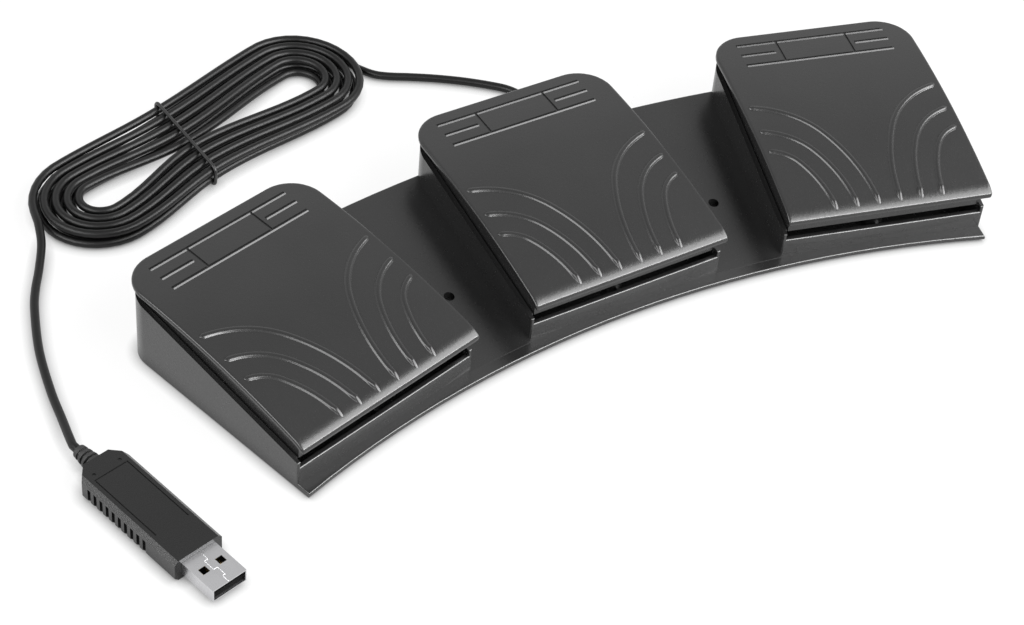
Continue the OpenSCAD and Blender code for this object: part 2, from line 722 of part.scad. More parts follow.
// Posts for the fixing holes and the bottom screws, with the ribs that tie them to the walls
module posts() {
    fixing_top = flange_top + bridge_rise * (fixing_at - slope_r);
    bridge_screw_top = flange_top + bridge_rise * (bridge_screw_r - slope_r) - bridge_t / 2;
    low = plate_top + rest_gap;
    at_fan() for (s = [-1, 1]) rotate(-s * fan_step / 2) {
        translate([0, fixing_at, base_low]) cylinder(fixing_top - base_low - bridge_t / 2, fixing_post_r,
            fixing_post_r);
        translate([0, bridge_screw_r, low]) cylinder(bridge_screw_top - low, screw_post_r, screw_post_r);
    }
    for (i = [left : right]) at_pedal(i) {
        translate([0, front_screw_v, low]) cylinder(screw_post_h, screw_post_r, screw_post_r);
        translate([-rib_t / 2, -inner_front - box_t / 2, low])
            cube([rib_t, front_screw_v + inner_front + box_t / 2 - screw_r - over, rib_deep]);
        translate([0, rear_screw_v, low]) cylinder(screw_post_h, screw_post_r, screw_post_r);
        translate([-rib_t / 2, rear_screw_v + screw_r + over, low])
            cube([rib_t, inner_rear + box_t / 2 - rear_screw_v - screw_r - over, screw_post_h]);
    }
    for (s = [left, right]) at_pedal(s) {
        translate([s * side_screw_u, side_screw_v, low]) cylinder(screw_post_h, screw_post_r, screw_post_r);
        translate([s * (side_screw_u + inner_half + box_t / 2) / 2 + s * screw_r / 2, side_screw_v,
            low + screw_post_h / 2])
            cube([inner_half + box_t / 2 - side_screw_u - screw_r, rib_t, screw_post_h], center = true);
    }
}

module base_shell() {
    pilot = screw_r + rest_gap;
    seat_l = box_w - 2 * (box_t - rod_seat);
    color("#38383a") difference() {
        union() {
            difference() {
                union() {
                    at_fan() bridge_strip();
                    front_flange();
                    for (i = [left : right]) at_pedal(i) box_walls();
                }
                for (i = [left : right]) at_pedal(i) {
                    linear_extrude(tall) inner_plan(0);
                    translate([-box_w / 2 + horn_w, -box_front - over, front_wall_top])
                        cube([box_w - 2 * horn_w, box_t + 2 * over, tall]);
                }
                at_fan() linear_extrude(plate_top + rest_gap) bottom_plan(0);
            }
            posts();
        }
        at_fan() for (s = [-1, 1]) rotate(-s * fan_step / 2) translate([0, fixing_at, 0])
            cylinder(tall, fixing_r, fixing_r);
        at_screws() cylinder(plate_top + screw_post_h, pilot, pilot);
        for (i = [left : right]) at_pedal(i) {
            translate([0, hinge_v, hinge_z]) rotate([0, 90, 0])
                cylinder(seat_l, rod_r + rod_gap, rod_r + rod_gap, center = true);
            for (s = [left, right]) if (i + s >= left && i + s <= right)
                translate([s * (inner_half + box_t / 2), notch_v, 0])
                    cube([box_t + 2 * over, notch_w, 2 * notch_top], center = true);
        }
        at_pedal(centre) translate([exit_u, box_rear + over, exit_z]) rotate([90, 0, 0])
            cylinder(box_t + 2 * over, cord_r + 1, cord_r + 1);
    }
}

module bottom_plate() {
    color("#242425") difference() {
        union() {
            translate([0, 0, plate_low]) at_fan() linear_extrude(plate_t) bottom_plan(plate_gap);
            for (i = [left : right]) at_pedal(i)
                translate([0, spring_v, plate_top - over]) cylinder(3 + over, spring_core, spring_core);
            for (s = [-1, 1]) at_pedal(centre) translate([s * board_post_u, board_v, plate_top - over])
                cylinder(board_post_h + over, board_post_r, board_post_r);
        }
        at_screws() {
            cylinder(tall, screw_r + 0.2, screw_r + 0.2);
            cylinder(plate_low + screw_head_h + rest_gap, screw_head_r + 0.2, screw_head_r + 0.2);
        }
        at_feet() cylinder(foot_h, foot_r + plate_gap / 2, foot_r + plate_gap / 2);
    }
}

// Places for the rubber feet
module at_feet() {
    for (i = [left : right]) at_pedal(i) for (s = [-1, 1]) {
        translate([s * foot_u, foot_front_v, 0]) children();
        translate([s * foot_u, foot_rear_v, 0]) children();
    }
}

module rubber_feet() {
    edge = 0.4;
    color("#1c1c1c") at_feet() {
        cylinder(edge, foot_r - edge, foot_r);
        translate([0, 0, edge]) cylinder(foot_h - edge, foot_r, foot_r);
    }
}

module bottom_screws() {
    cross_w = 0.7;
    cross_d = 0.6;
    color("#8c8c8c") at_screws() difference() {
        union() {
            translate([0, 0, plate_low]) cylinder(screw_head_h, screw_head_r, screw_head_r);
            translate([0, 0, plate_low]) cylinder(screw_head_h + screw_l, screw_r, screw_r);
        }
        for (a = [0, 90]) rotate(a) translate([-screw_head_r / 2, -cross_w / 2, plate_low - over])
            cube([screw_head_r, cross_w, cross_d + over]);
    }
}

module hinge_rod(i) {
    rod_l = box_w - 2 * (box_t - rod_seat) - 2 * rod_gap;
    color("#b4b4b4") at_pedal(i) translate([0, hinge_v, hinge_z]) rotate([0, 90, 0])
        cylinder(rod_l, rod_r, rod_r, center = true);
}

module return_spring(i) {
    curl_rings = 8;
    steps = spring_turns * curl_rings;
    path = [for (k = [0 : steps]) let (a = 360 * k / curl_rings)
        [spring_r * cos(a), spring_r * sin(a), spring_low + spring_h * k / steps]];
    color("#a8a8a8") at_pedal(i) translate([0, spring_v, 0]) tube(path, spring_wire / 2, 6);
}

module switch_body(i) {
    foot_l = 3;
    color("#2a2a2c") at_pedal(i) translate([0, switch_v, 0]) difference() {
        translate([-switch_l / 2, -switch_w / 2, plate_top]) cube([switch_l, switch_w, switch_h]);
        translate([0, 0, plunger_top - plunger_out - plunger_drop - plunger_foot])
            cylinder(tall, plunger_r + plunger_gap, plunger_r + plunger_gap);
        for (s = [-1, 1]) translate([s * (switch_l / 2 - foot_l), 0, plate_top + foot_l])
            rotate([90, 0, 0]) cylinder(2 * switch_w, screw_r, screw_r, center = true);
    }
}

module switch_plunger(i) {
    crown = 0.3;
    body = plunger_out + plunger_foot - crown;
    color("#b03a2e") at_pedal(i) translate([0, switch_v, plunger_top - plunger_out - plunger_foot]) {
        cylinder(body, plunger_r, plunger_r);
        translate([0, 0, body]) cylinder(crown, plunger_r, plunger_r - crown);
    }
}

module circuit_board() {
    hole_r = 1;
    color("#1f5a38") at_pedal(centre) difference() {
        translate([-board_l / 2, board_v - board_d / 2, board_low]) cube([board_l, board_d, board_t]);
        for (s = [-1, 1]) translate([s * board_post_u, board_v, 0]) cylinder(tall, hole_r, hole_r);
    }
}

module controller_chip() {
    dot_r = 0.5;
    dot_d = 0.2;
    color("#1a1a1a") at_pedal(centre) translate([-chip_side / 2, board_v, board_high]) difference() {
        translate([0, 0, chip_h / 2]) cube([chip_side, chip_side, chip_h], center = true);
        translate([-chip_side / 3, chip_side / 3, chip_h - dot_d]) cylinder(chip_h, dot_r, dot_r);
    }
}

module crystal() {
    can_r = 2;
    can_l = 6;
    can_h = 3.4;
    color("#c0c0c0") at_pedal(centre) translate([board_l / 6, board_v, board_high]) {
        translate([-can_l / 2, -can_r, 0]) cube([can_l, 2 * can_r, can_h]);
        for (s = [-1, 1]) translate([s * can_l / 2, 0, 0]) cylinder(can_h, can_r, can_r);
    }
}

// One socket, hollow on top, long along x
module socket() {
    lip = 0.8;
    difference() {
        translate([-socket_l / 2, -socket_d / 2, 0]) cube([socket_l, socket_d, socket_h]);
        translate([-socket_l / 2 + lip, -socket_d / 2 + lip, lip])
            cube([socket_l - 2 * lip, socket_d - 2 * lip, socket_h]);
    }
}

module wire_sockets() {
    color("#e8e4d8") at_pedal(centre) translate([0, 0, board_high]) {
        for (s = [-1, 1]) translate([s * socket_u, board_v, 0]) rotate(90) socket();
        translate([switch_socket_u, socket_v, 0]) socket();
        translate([cord_socket_u, socket_v, 0]) socket();
    }
}

// Leads of an outer switch: along the plate, under the bridge and up to the board
module switch_wires(i) {
    near = -i;
    path = [placed(i, near * switch_l / 2, switch_v, wire_z), placed(i, near * (switch_l / 2 + 4), switch_v, wire_z),
        placed(i, near * inner_half, notch_v, wire_z), placed(i, near * (box_w / 2 + 1), notch_v, wire_z),
        placed(centre, i * (box_w / 2 + 1), notch_v, wire_z), placed(centre, i * inner_half, notch_v, wire_z),
        placed(centre, i * (board_l / 2 + 3), board_v + 3, wire_z + 2),
        placed(centre, i * (board_l / 2 + 2), board_v, socket_z),
        placed(centre, i * (socket_u + socket_d / 2), board_v, socket_z)];
    color("#6a1f1f") tube(smooth(path, 2), wire_r, 6);
}

// Leads of the middle switch, straight to the board
module switch_wires_centre() {
    face_v = socket_v + socket_d / 2;
    path = [placed(centre, -switch_l / 2, switch_v, wire_z),
        placed(centre, -switch_l / 2 - 2 * wire_r, switch_v, wire_z),
        placed(centre, -15.5, switch_v - 1.5, wire_z + 1.4), placed(centre, -14.5, switch_v - 4, socket_z - 1.4),
        placed(centre, switch_socket_u, face_v + 2 * wire_r, socket_z),
        placed(centre, switch_socket_u, face_v, socket_z)];
    color("#6a1f1f") tube(smooth(path, 2), wire_r, 6);
}

// The cord's end inside the middle box, from the grommet to the board
module cord_inner() {
    start_v = inner_rear - grommet_collar;
    face_v = socket_v + socket_d / 2;
    path = [placed(centre, exit_u, start_v, exit_z), placed(centre, exit_u, start_v - cord_d, exit_z),
        placed(centre, exit_u, 32, exit_z), placed(centre, 21, 23, exit_z + 0.6),
        placed(centre, 16.5, 18, socket_z - 1.2), placed(centre, cord_socket_u, face_v + cord_d, socket_z),
        placed(centre, cord_socket_u, face_v, socket_z)];
    color("#161616") tube(smooth(path, 2), cord_r, 8);
}

// Turned piece along v: a collar on each side of the wall and a ringed sleeve outside
module cord_grommet() {
    neck_r = cord_r + 1 - rest_gap;
    sleeve_r = cord_r + 1.2;
    mouth_r = cord_r + 0.7;
    color("#1a1a1a") at_pedal(centre) translate([exit_u, 0, exit_z]) rotate([-90, 0, 0]) {
        translate([0, 0, inner_rear - grommet_collar]) cylinder(grommet_collar - rest_gap, grommet_r, grommet_r);
        translate([0, 0, inner_rear - grommet_collar]) cylinder(grommet_collar + box_t + grommet_collar, neck_r, neck_r);
        translate([0, 0, box_rear + rest_gap]) cylinder(grommet_collar, grommet_r, grommet_r);
        translate([0, 0, box_rear + grommet_collar]) cylinder(grommet_out - grommet_collar, sleeve_r, mouth_r);
    }
}

module cord_lead() {
    color("#161616") tube(lead_path, cord_r, 8);
}

module cord_hank() {
    color("#161616") tube(concat([hank_first], hank_path, [hank_last]), cord_r, hank_sides);
}

module cord_tail() {
    color("#161616") tube(tail_path, cord_r, 8);
}

// A block with four rounded long edges, along x
module round_bar(length, width, low, high, corner) {
    for (y = [corner - width / 2, width / 2 - corner]) for (z = [low + corner, high - corner])
        translate([0, y, z]) rotate([0, 90, 0]) cylinder(length, corner, corner, center = true);
    translate([-length / 2, corner - width / 2, low]) cube([length, width - 2 * corner, high - low]);
    translate([-length / 2, -width / 2, low + corner]) cube([length, width, high - low - 2 * corner]);
}

module cord_tie() {
    edge = (hank_r - hank_waist + cord_r + tie_w / 2 * sin(tie_turned)) / cos(tie_turned);
    half = edge + tie_gap;
    low = floor_z + hank_lift - cord_r - tie_gap;
    high = floor_z + hank_lift + hank_layer + cord_r + tie_gap;
    color("#202022") translate(concat(hank_at, [0])) rotate([0, 0, hank_turned - tie_turned]) difference() {
        round_bar(tie_w, 2 * (half + tie_t), low - tie_t, high + tie_t, tie_corner_r);
        round_bar(tie_w + 2 * over, 2 * half, low, high, tie_corner_r - tie_t);
    }
}

// Puts children into the plug's frame, whose x runs towards the shell's mouth
module at_plug() {
    translate(concat(plug_at, [0])) rotate([0, 0, plug_turned]) children();
}

module plug_boot() {
    tail_r = cord_r + 0.8;
    slot_w = 0.9;
    slots = 3;
    pitch = boot_l / (slots + 1);
    color("#1a1a1a") at_plug() translate([0, 0, plug_z]) rotate([0, 90, 0]) difference() {
        cylinder(boot_l, tail_r, boot_r);
        for (k = [1 : slots]) translate([0, 0, k * pitch - slot_w / 2]) difference() {
            cylinder(slot_w, 2 * boot_r, 2 * boot_r);
            cylinder(slot_w, cord_r + 0.4, cord_r + 0.4);
        }
    }
}

// Cross-section of the housing, in its own y and z
module plug_section() {
    side = plug_w / 2;
    polygon([[-side, plug_edge], [plug_edge - side, 0], [side - plug_edge, 0], [side, plug_edge],
        [side, plug_h - plug_edge], [side - plug_edge, plug_h], [plug_edge - side, plug_h],
        [-side, plug_h - plug_edge]]);
}

module plug_housing() {
    side = plug_w / 2;
    grip_start = 7;
    grip_l = 0.6 * plug_l;
    slot_pitch = grip_l / plug_slots;
    slot_d = 0.7;
    slot_top = plug_h - plug_edge - 0.6;
    line_w = 0.4;
    line_d = 0.3;
    line_y = side - plug_edge - 1.4;
    dot_r = 0.6;
    color("#19191a") at_plug() translate([boot_l, 0, 0]) difference() {
        intersection() {
            translate([-over, 0, 0]) rotate([90, 0, 90]) linear_extrude(plug_l + over) plug_section();
            translate([0, 0, -over]) linear_extrude(plug_h + 2 * over)
                polygon([[0, plug_chamfer - side], [plug_chamfer + 1, -side - over], [plug_l + over, -side - over],
                    [plug_l + over, side + over], [plug_chamfer + 1, side + over], [0, side - plug_chamfer]]);
        }
        translate([plug_l - shell_in - rest_gap, -shell_w / 2 - rest_gap, plug_z - shell_h / 2 - rest_gap])
            cube([shell_in + over, shell_w + 2 * rest_gap, shell_h + 2 * rest_gap]);
        for (s = [-1, 1]) for (k = [0 : plug_slots - 1])
            translate([grip_start + k * slot_pitch, s * side - slot_d, -over])
                cube([slot_pitch / 2, 2 * slot_d, slot_top + over]);
        translate([grip_start, -line_y, plug_h - line_d]) cube([line_w, 2 * line_y, 2 * line_d]);
        for (s = [-1, 1]) {
            translate([grip_start, s * line_y - line_w / 2, plug_h - line_d]) cube([grip_l, line_w, 2 * line_d]);
            translate([grip_start - 3 * dot_r, s * (line_y - 2 * dot_r), plug_h - line_d])
                cylinder(2 * line_d, dot_r, dot_r);
        }
    }
}

module plug_shell() {
    length = shell_in + shell_out;
    window_y = shell_w / 4;
    color("#c8c8ca") at_plug() translate([shell_start - shell_in, 0, plug_z]) difference() {
        translate([0, -shell_w / 2, -shell_h / 2]) cube([length, shell_w, shell_h]);
        translate([-over, shell_t - shell_w / 2, shell_t - shell_h / 2])
            cube([length + 2 * over, shell_w - 2 * shell_t, shell_h - 2 * shell_t]);
        for (s = [-1, 1]) translate([shell_in + shell_out * 0.45, s * window_y, 0])
            cube([window_side, window_side, 2 * shell_h], center = true);
    }
}

module plug_tongue() {
    half = shell_w / 2 - shell_t - rest_gap;
    mouth = 0.8;
    color("#e6e6e4") at_plug()
        translate([shell_start - shell_in, -half, plug_z - shell_h / 2 + shell_t + rest_gap])
        cube([shell_in + shell_out - mouth, 2 * half, tongue_t]);
}

module plug_contacts() {
    width = 1;
    thick = 0.2;
    long = shell_out - 3;
    short = shell_out - 4.5;
    low = plug_z - shell_h / 2 + shell_t + rest_gap + tongue_t;
    color("#c9a24a") at_plug() for (y = [-3.5, -1, 1, 3.5])
        translate([shell_start, y - width / 2, low]) cube([abs(y) > 2 ? long : short, width, thick]);
}

base_shell();
bottom_plate();
bottom_screws();
rubber_feet();
pedal_cover(left);  // pedal_cover_left
pedal_cover(centre);  // pedal_cover_centre
pedal_cover(right);  // pedal_cover_right
hinge_rod(left);  // hinge_rod_left
hinge_rod(centre);  // hinge_rod_centre
hinge_rod(right);  // hinge_rod_right
return_spring(left);  // return_spring_left
return_spring(centre);  // return_spring_centre
return_spring(right);  // return_spring_right
switch_body(left);  // switch_body_left
switch_body(centre);  // switch_body_centre
switch_body(right);  // switch_body_right
switch_plunger(left);  // switch_plunger_left
switch_plunger(centre);  // switch_plunger_centre
switch_plunger(right);  // switch_plunger_right
circuit_board();
controller_chip();
crystal();
wire_sockets();
switch_wires(left);  // switch_wires_left
switch_wires_centre();
switch_wires(right);  // switch_wires_right
cord_inner();
cord_grommet();
cord_lead();
cord_hank();
cord_tail();
cord_tie();
plug_boot();
plug_housing();
plug_shell();
plug_tongue();
plug_contacts();
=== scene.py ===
import json
from math import asin, atan2, copysign, cos, pi, radians, sin, sqrt

import bmesh
import bpy
from mathutils import Matrix, Vector


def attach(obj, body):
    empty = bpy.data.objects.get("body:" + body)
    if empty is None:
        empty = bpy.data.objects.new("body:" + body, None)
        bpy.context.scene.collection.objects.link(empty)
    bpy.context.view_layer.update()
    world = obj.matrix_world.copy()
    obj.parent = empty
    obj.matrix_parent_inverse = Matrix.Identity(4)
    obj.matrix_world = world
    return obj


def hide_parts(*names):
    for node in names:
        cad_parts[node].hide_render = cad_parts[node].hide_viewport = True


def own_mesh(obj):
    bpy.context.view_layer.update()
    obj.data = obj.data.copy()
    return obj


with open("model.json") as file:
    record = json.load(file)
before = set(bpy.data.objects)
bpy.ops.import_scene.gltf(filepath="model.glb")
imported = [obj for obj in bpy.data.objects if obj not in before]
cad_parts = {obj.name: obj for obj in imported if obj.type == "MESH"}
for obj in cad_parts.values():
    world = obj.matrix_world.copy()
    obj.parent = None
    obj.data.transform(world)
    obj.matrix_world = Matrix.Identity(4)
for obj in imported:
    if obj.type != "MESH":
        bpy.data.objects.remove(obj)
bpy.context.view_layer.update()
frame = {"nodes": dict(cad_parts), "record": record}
scene = bpy.context.scene
nodes = frame["nodes"]
mm = 0.001

# Driving sizes in millimetres, as the solids have them
fan_step = 14.7
fan_r = 396
box_w = 71.2
flange_r = fan_r - 32.8
cover_rear = 51.5
tip_w = sqrt(flange_r ** 2 - (box_w / 2) ** 2)
front_y = tip_w * cos(radians(fan_step)) - box_w / 2 * sin(radians(fan_step))
fan_y = (front_y + fan_r + cover_rear) / 2
pedals = {"left": -1, "centre": 0, "right": 1}


def placed(i, u, v, z):
    """A point of pedal i's frame, in the part's frame, in millimetres."""
    a = radians(-i * fan_step)
    w = fan_r + v
    return Vector((u * cos(a) - w * sin(a), u * sin(a) + w * cos(a) - fan_y, z))


# Camera, matched to the photograph's perspective
photo_w = 1024
focal_px = 2430.9
eye = Vector((-354.5, -468.0, 525.2)) * mm
yaw = radians(34.7)
pitch = radians(43.29)
roll = radians(5.6)
shift_px = (16.5, -1.3)


def make_camera():
    forward = Vector((sin(yaw) * cos(pitch), cos(yaw) * cos(pitch), -sin(pitch)))
    level = Vector((cos(yaw), -sin(yaw), 0))
    above = level.cross(forward)
    right = cos(roll) * level + sin(roll) * above
    up = cos(roll) * above - sin(roll) * level
    data = bpy.data.cameras.new("camera")
    data.sensor_fit = "HORIZONTAL"
    data.sensor_width = 36
    data.lens = focal_px / photo_w * data.sensor_width
    data.shift_x = shift_px[0] / photo_w
    data.shift_y = shift_px[1] / photo_w
    data.clip_start = 0.01
    camera = bpy.data.objects.new("camera", data)
    camera.matrix_world = Matrix((right, up, -forward)).transposed().to_4x4()
    camera.matrix_world.translation = eye
    scene.collection.objects.link(camera)
    scene.camera = camera


make_camera()

# Cord route: the same points and the same hank formula as the solids, in millimetres
cord_d = 2.8
cord_r = cord_d / 2
floor_z = cord_r + 0.2
exit_at = Vector((22, fan_r - fan_y + 49.2 + 6, 6.6))
lead_points = [(22.3, 63.4, 5.9), (24, 68, 4.2), (25.5, 73, 2.7), (25.6, 78, 1.9), (23.6, 83, floor_z),
               (20, 87, floor_z), (12.5, 93.4, floor_z), (4, 99.4, floor_z), (-4, 104.2, floor_z),
               (-10.5, 107.8, floor_z), (-14.8, 111.2, floor_z)]
tail_points = [(-152.3, 78.8, 3.2), (-157, 69.8, 1.9), (-161.8, 61.5, floor_z), (-165.6, 53.2, floor_z),
               (-171.3, 36.4, floor_z), (-175, 19.2, floor_z), (-176.9, 6.5, 2.2)]
plug_at = Vector((-178.3, -9.3, 3.9))
plug_turned = radians(-76.2)
plug_way = Vector((cos(plug_turned), sin(plug_turned), 0))

hank_at = (-90.7, 101.2)
hank_turned = radians(17.6)
hank_taper = 0.001
hank_proud = 0.4
hank_turns = 4
hank_step = 3.65
hank_layer = 3.4
hank_r = 22
hank_right = 52
hank_left = 38
hank_waist = 2.9
hank_waist_step = 0.65
hank_lift = 1.2
hank_enter = 0.12
hank_climb = 0.25
hank_leave = 0.59
climb_start = hank_turns + hank_climb - hank_enter
climb_end = climb_start + hank_climb
hank_end = 2 * hank_turns + hank_leave - hank_enter
turn_points = 72
hank_nudge = 0.001


def hank_inset(turn):
    if turn < climb_start:
        return hank_step * turn
    if turn < climb_end:
        return hank_step * climb_start
    wide = hank_step * climb_start + hank_proud
    return wide * (hank_end - turn) / (hank_end - climb_end) - hank_proud


def hank_draw(s):
    run = hank_right if s > 0 else hank_left
    return (1 + cos(pi * s / run)) / 2 if abs(s) < run else 0


def hank_flat(f, r, draw):
    run = hank_right + hank_left
    if f < 0.25:
        a = 4 * pi * f - pi / 2
        return hank_right + r * cos(a), r * sin(a)
    if f < 0.5:
        s = hank_right - run * (f - 0.25) * 4
        return s, r - draw * hank_draw(s)
    if f < 0.75:
        a = pi / 2 + 4 * pi * (f - 0.5)
        return r * cos(a) - hank_left, r * sin(a)
    s = run * (f - 0.75) * 4 - hank_left
    return s, draw * hank_draw(s) - r


def hank_point(turn):
    inset = hank_inset(turn)
    draw = hank_waist + inset / hank_step * hank_waist_step
    s, q = hank_flat((turn + hank_enter) % 1, hank_r - inset, draw)
    q *= 1 + hank_taper * s
    rise = hank_layer * min(1, max(0, (turn - climb_start) / (climb_end - climb_start)))
    return Vector((hank_at[0] + s * cos(hank_turned) - q * sin(hank_turned),
                   hank_at[1] + s * sin(hank_turned) + q * cos(hank_turned),
                   floor_z + rise + hank_lift * hank_draw(s)))


def smooth(points, steps):
    """A smooth curve through points, in steps, with a straight stretch at each end."""
    path = [points[0]]
    for k in range(1, len(points) - 2):
        a, b, c, d = points[k - 1:k + 3]
        for j in range(steps):
            t = j / steps
            path.append(0.5 * (2 * b + (c - a) * t + (2 * a - 5 * b + 4 * c - d) * t * t
                               + (3 * b - a - 3 * c + d) * t ** 3))
    return path + points[-2:]


def cord_path():
    count = round(hank_end * turn_points)
    hank = [hank_point(hank_end * k / count) for k in range(count + 1)]
    way_in = (hank_point(hank_nudge) - hank[0]).normalized()
    way_out = (hank[-1] - hank_point(hank_end - hank_nudge)).normalized()
    first = hank[0] - cord_d * way_in
    last = hank[-1] + cord_d * way_out
    lead = [exit_at, exit_at + Vector((0, cord_d, 0))] + [Vector(p) for p in lead_points]
    lead += [first - cord_d * way_in, first]
    tail = [last, last + cord_d * way_out] + [Vector(p) for p in tail_points]
    tail += [plug_at - cord_d * plug_way, plug_at]
    return smooth(lead, 8) + hank + smooth(tail, 8)


# Tie: a thin wire drawn tight round all the strands at the hank's waist
tie_turned = radians(14)
tie_r = 0.6
strand_r = cord_r + 0.05


def hull(points):
    """The convex outline of flat points, counter-clockwise."""
    points = sorted(points)
    halves = []
    for line in (points, points[::-1]):
        half = []
        for p in line:
            while len(half) > 1 and ((half[-1][0] - half[-2][0]) * (p[1] - half[-2][1])
                                     <= (half[-1][1] - half[-2][1]) * (p[0] - half[-2][0])):
                half.pop()
            half.append(p)
        halves += half[:-1]
    return halves


def make_tie():
    across = hank_turned - tie_turned
    count = round(hank_end * turn_points)
    crossings = []
    before = None
    for k in range(count + 1):
        p = hank_point(hank_end * k / count)
        x, y = p.x - hank_at[0], p.y - hank_at[1]
        now = (x * cos(across) + y * sin(across), y * cos(across) - x * sin(across), p.z)
        if before and before[0] * now[0] <= 0 and now[0] != before[0]:
            t = before[0] / (before[0] - now[0])
            crossings.append((before[1] + t * (now[1] - before[1]), before[2] + t * (now[2] - before[2])))
        before = now
    outline = hull(crossings)
    reach = strand_r / cos(tie_turned) + tie_r
    path = []
    for k, here in enumerate(outline):
        back, ahead = outline[k - 1], outline[(k + 1) % len(outline)]
        start = atan2(here[1] - back[1], here[0] - back[0]) - pi / 2
        turn = (atan2(ahead[1] - here[1], ahead[0] - here[0]) - pi / 2 - start) % (2 * pi)
        steps = max(1, round(turn / radians(12)))
        for j in range(steps + 1):
            a = start + turn * j / steps
            path.append((here[0] + reach * cos(a), here[1] + reach * sin(a)))
    data = bpy.data.curves.new("tie", "CURVE")
    data.dimensions = "3D"
    data.bevel_depth = 1
    data.bevel_resolution = 3
    spline = data.splines.new("POLY")
    spline.points.add(len(path) - 1)
    spline.use_cyclic_u = True
    for point, (y, z) in zip(spline.points, path):
        place = Vector((hank_at[0] - y * sin(across), hank_at[1] + y * cos(across), z)) * mm
        point.co = (*place, 1)
        point.radius = tie_r * mm
    tie = bpy.data.objects.new("tie", data)
    scene.collection.objects.link(tie)
    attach(tie, "base")
    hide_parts("cord_tie")
    return tie


tie = make_tie()


# Plug shell: the folded sheet's seam, a fine raised line along the top
seam_w = 0.16
seam_h = 0.03
shell_half_h = 2.25
shell_top = plug_at.z + shell_half_h
seam_points = ((54.2, 0.5), (57.5, 0.5), (57.5, -0.7), (61.5, -0.7), (61.5, 0.6), (64.8, 0.6), (64.8, -0.3),
               (67.3, -0.3))


def at_plug(x, y, z):
    """A point of the plug's frame, whose x runs towards the shell's mouth, in the part's frame."""
    return Vector((plug_at.x + x * cos(plug_turned) - y * sin(plug_turned),
                   plug_at.y + x * sin(plug_turned) + y * cos(plug_turned), z))


def make_seam():
    bm = bmesh.new()
    for (x0, y0), (x1, y1) in zip(seam_points, seam_points[1:]):
        low_x, high_x = min(x0, x1) - seam_w / 2, max(x0, x1) + seam_w / 2
        low_y, high_y = min(y0, y1) - seam_w / 2, max(y0, y1) + seam_w / 2
        slope = seam_w / 4
        rings = []
        for inset, z in ((0, -seam_h), (0, 0), (slope, seam_h)):
            corners = ((low_x + inset, low_y + inset), (high_x - inset, low_y + inset),
                       (high_x - inset, high_y - inset), (low_x + inset, high_y - inset))
            rings.append([bm.verts.new(at_plug(x, y, shell_top + z) * mm) for x, y in corners])
        bm.faces.new(rings[0][::-1])
        for a, b in zip(rings, rings[1:]):
            for k in range(4):
                bm.faces.new((a[k], a[(k + 1) % 4], b[(k + 1) % 4], b[k]))
        bm.faces.new(rings[-1])
    data = bpy.data.meshes.new("shell_seam")
    bm.to_mesh(data)
    bm.free()
    seam = bpy.data.objects.new("shell_seam", data)
    scene.collection.objects.link(seam)
    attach(seam, "base")
    return seam


seam = make_seam()


def make_cord():
    path = cord_path()
    data = bpy.data.curves.new("cord", "CURVE")
    data.dimensions = "3D"
    data.bevel_depth = 1
    data.bevel_resolution = 4
    data.use_fill_caps = True
    spline = data.splines.new("POLY")
    spline.points.add(len(path) - 1)
    for point, place in zip(spline.points, path):
        point.co = (*(place * mm), 1)
        point.radius = cord_r * mm
    cord = bpy.data.objects.new("cord", data)
    scene.collection.objects.link(cord)
    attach(cord, "base")
    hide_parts("cord_lead", "cord_hank", "cord_tail")
    return cord


cord = make_cord()


# Pedal covers: the solids' sizes in millimetres, in a pedal's own frame of u, v and z
cover_w = 72
nose_reach = 31.9
cover_top = 29.1
cover_t = 1.6
cover_arc_r = 309
crest_v = 46
nose_r = 10
nose_slope = radians(40)
cover_corner_r = 12
skirt_half = 33.6
skirt_front = 27.5
skirt_rear = 47
skirt_corner_r = 8
skirt_t = 1.6
skirt_low = 10.6
skirt_rise = 0.086
arc_z = cover_top - cover_arc_r
nose_start = asin((crest_v + nose_reach - nose_r * sin(nose_slope)) / (cover_arc_r - nose_r))
nose_v = crest_v - (cover_arc_r - nose_r) * sin(nose_start)
nose_z = arc_z + (cover_arc_r - nose_r) * cos(nose_start)
join_v = crest_v - cover_arc_r * sin(nose_start)

groove_w = 0.9
groove_d = 0.4
groove_half = 27
panel_half = 12.7
groove_rear_v = 46.5
panel_depth = 10.5
short_start = panel_half + 1.8
groove_wall = 0.15
# Low lip along the front of the grooves that run from side to side
lip_w = 0.65
lip_crest = 0.23
lip_h = 0.3

ridge_step = 7.5
ridge_margin = 2.2
ridge_start = 2
ridge_first_v = 15.6
ridge_drops = (0, 11, 19.6)
# Half of a ridge's section, across and up from the top face, from its sunk foot to its crest
ridge_half = ((1.15, -0.4), (1.15, -0.02), (1, 0.08), (0.86, 0.3), (0.62, 0.5), (0.32, 0.58), (0, 0.6))
ridge_points = 96
ridge_tip = 1.8
# Drop at a ridge's nose end: length of its ramp and of its back, height and end width against the ridge's
drop_l = 3
drop_back = 1.6
drop_h = 1.7
drop_end = 0.35

# Grid of the top face: widest steps across and along, steps in the nose's bend, and plain bands
col_step = 6
row_step = 3
bend_steps = 8
corner_angles = (0, 10, 20, 30, 45, 54, 62, 70, 77, 84, 90)
rim_band = 0.5
groove_margin = 1
tiny = 0.001
cover_weld = 0.0005
cover_crease = radians(33)

# Rounding of the plate's upper and lower edges
edge_r = 0.7
edge_steps = 4
low_r = 0.3
corner_u = cover_w / 2 - cover_corner_r
corner_v = cover_rear - cover_corner_r
rim_corner_r = cover_corner_r - edge_r
rim_half = cover_w / 2 - edge_r


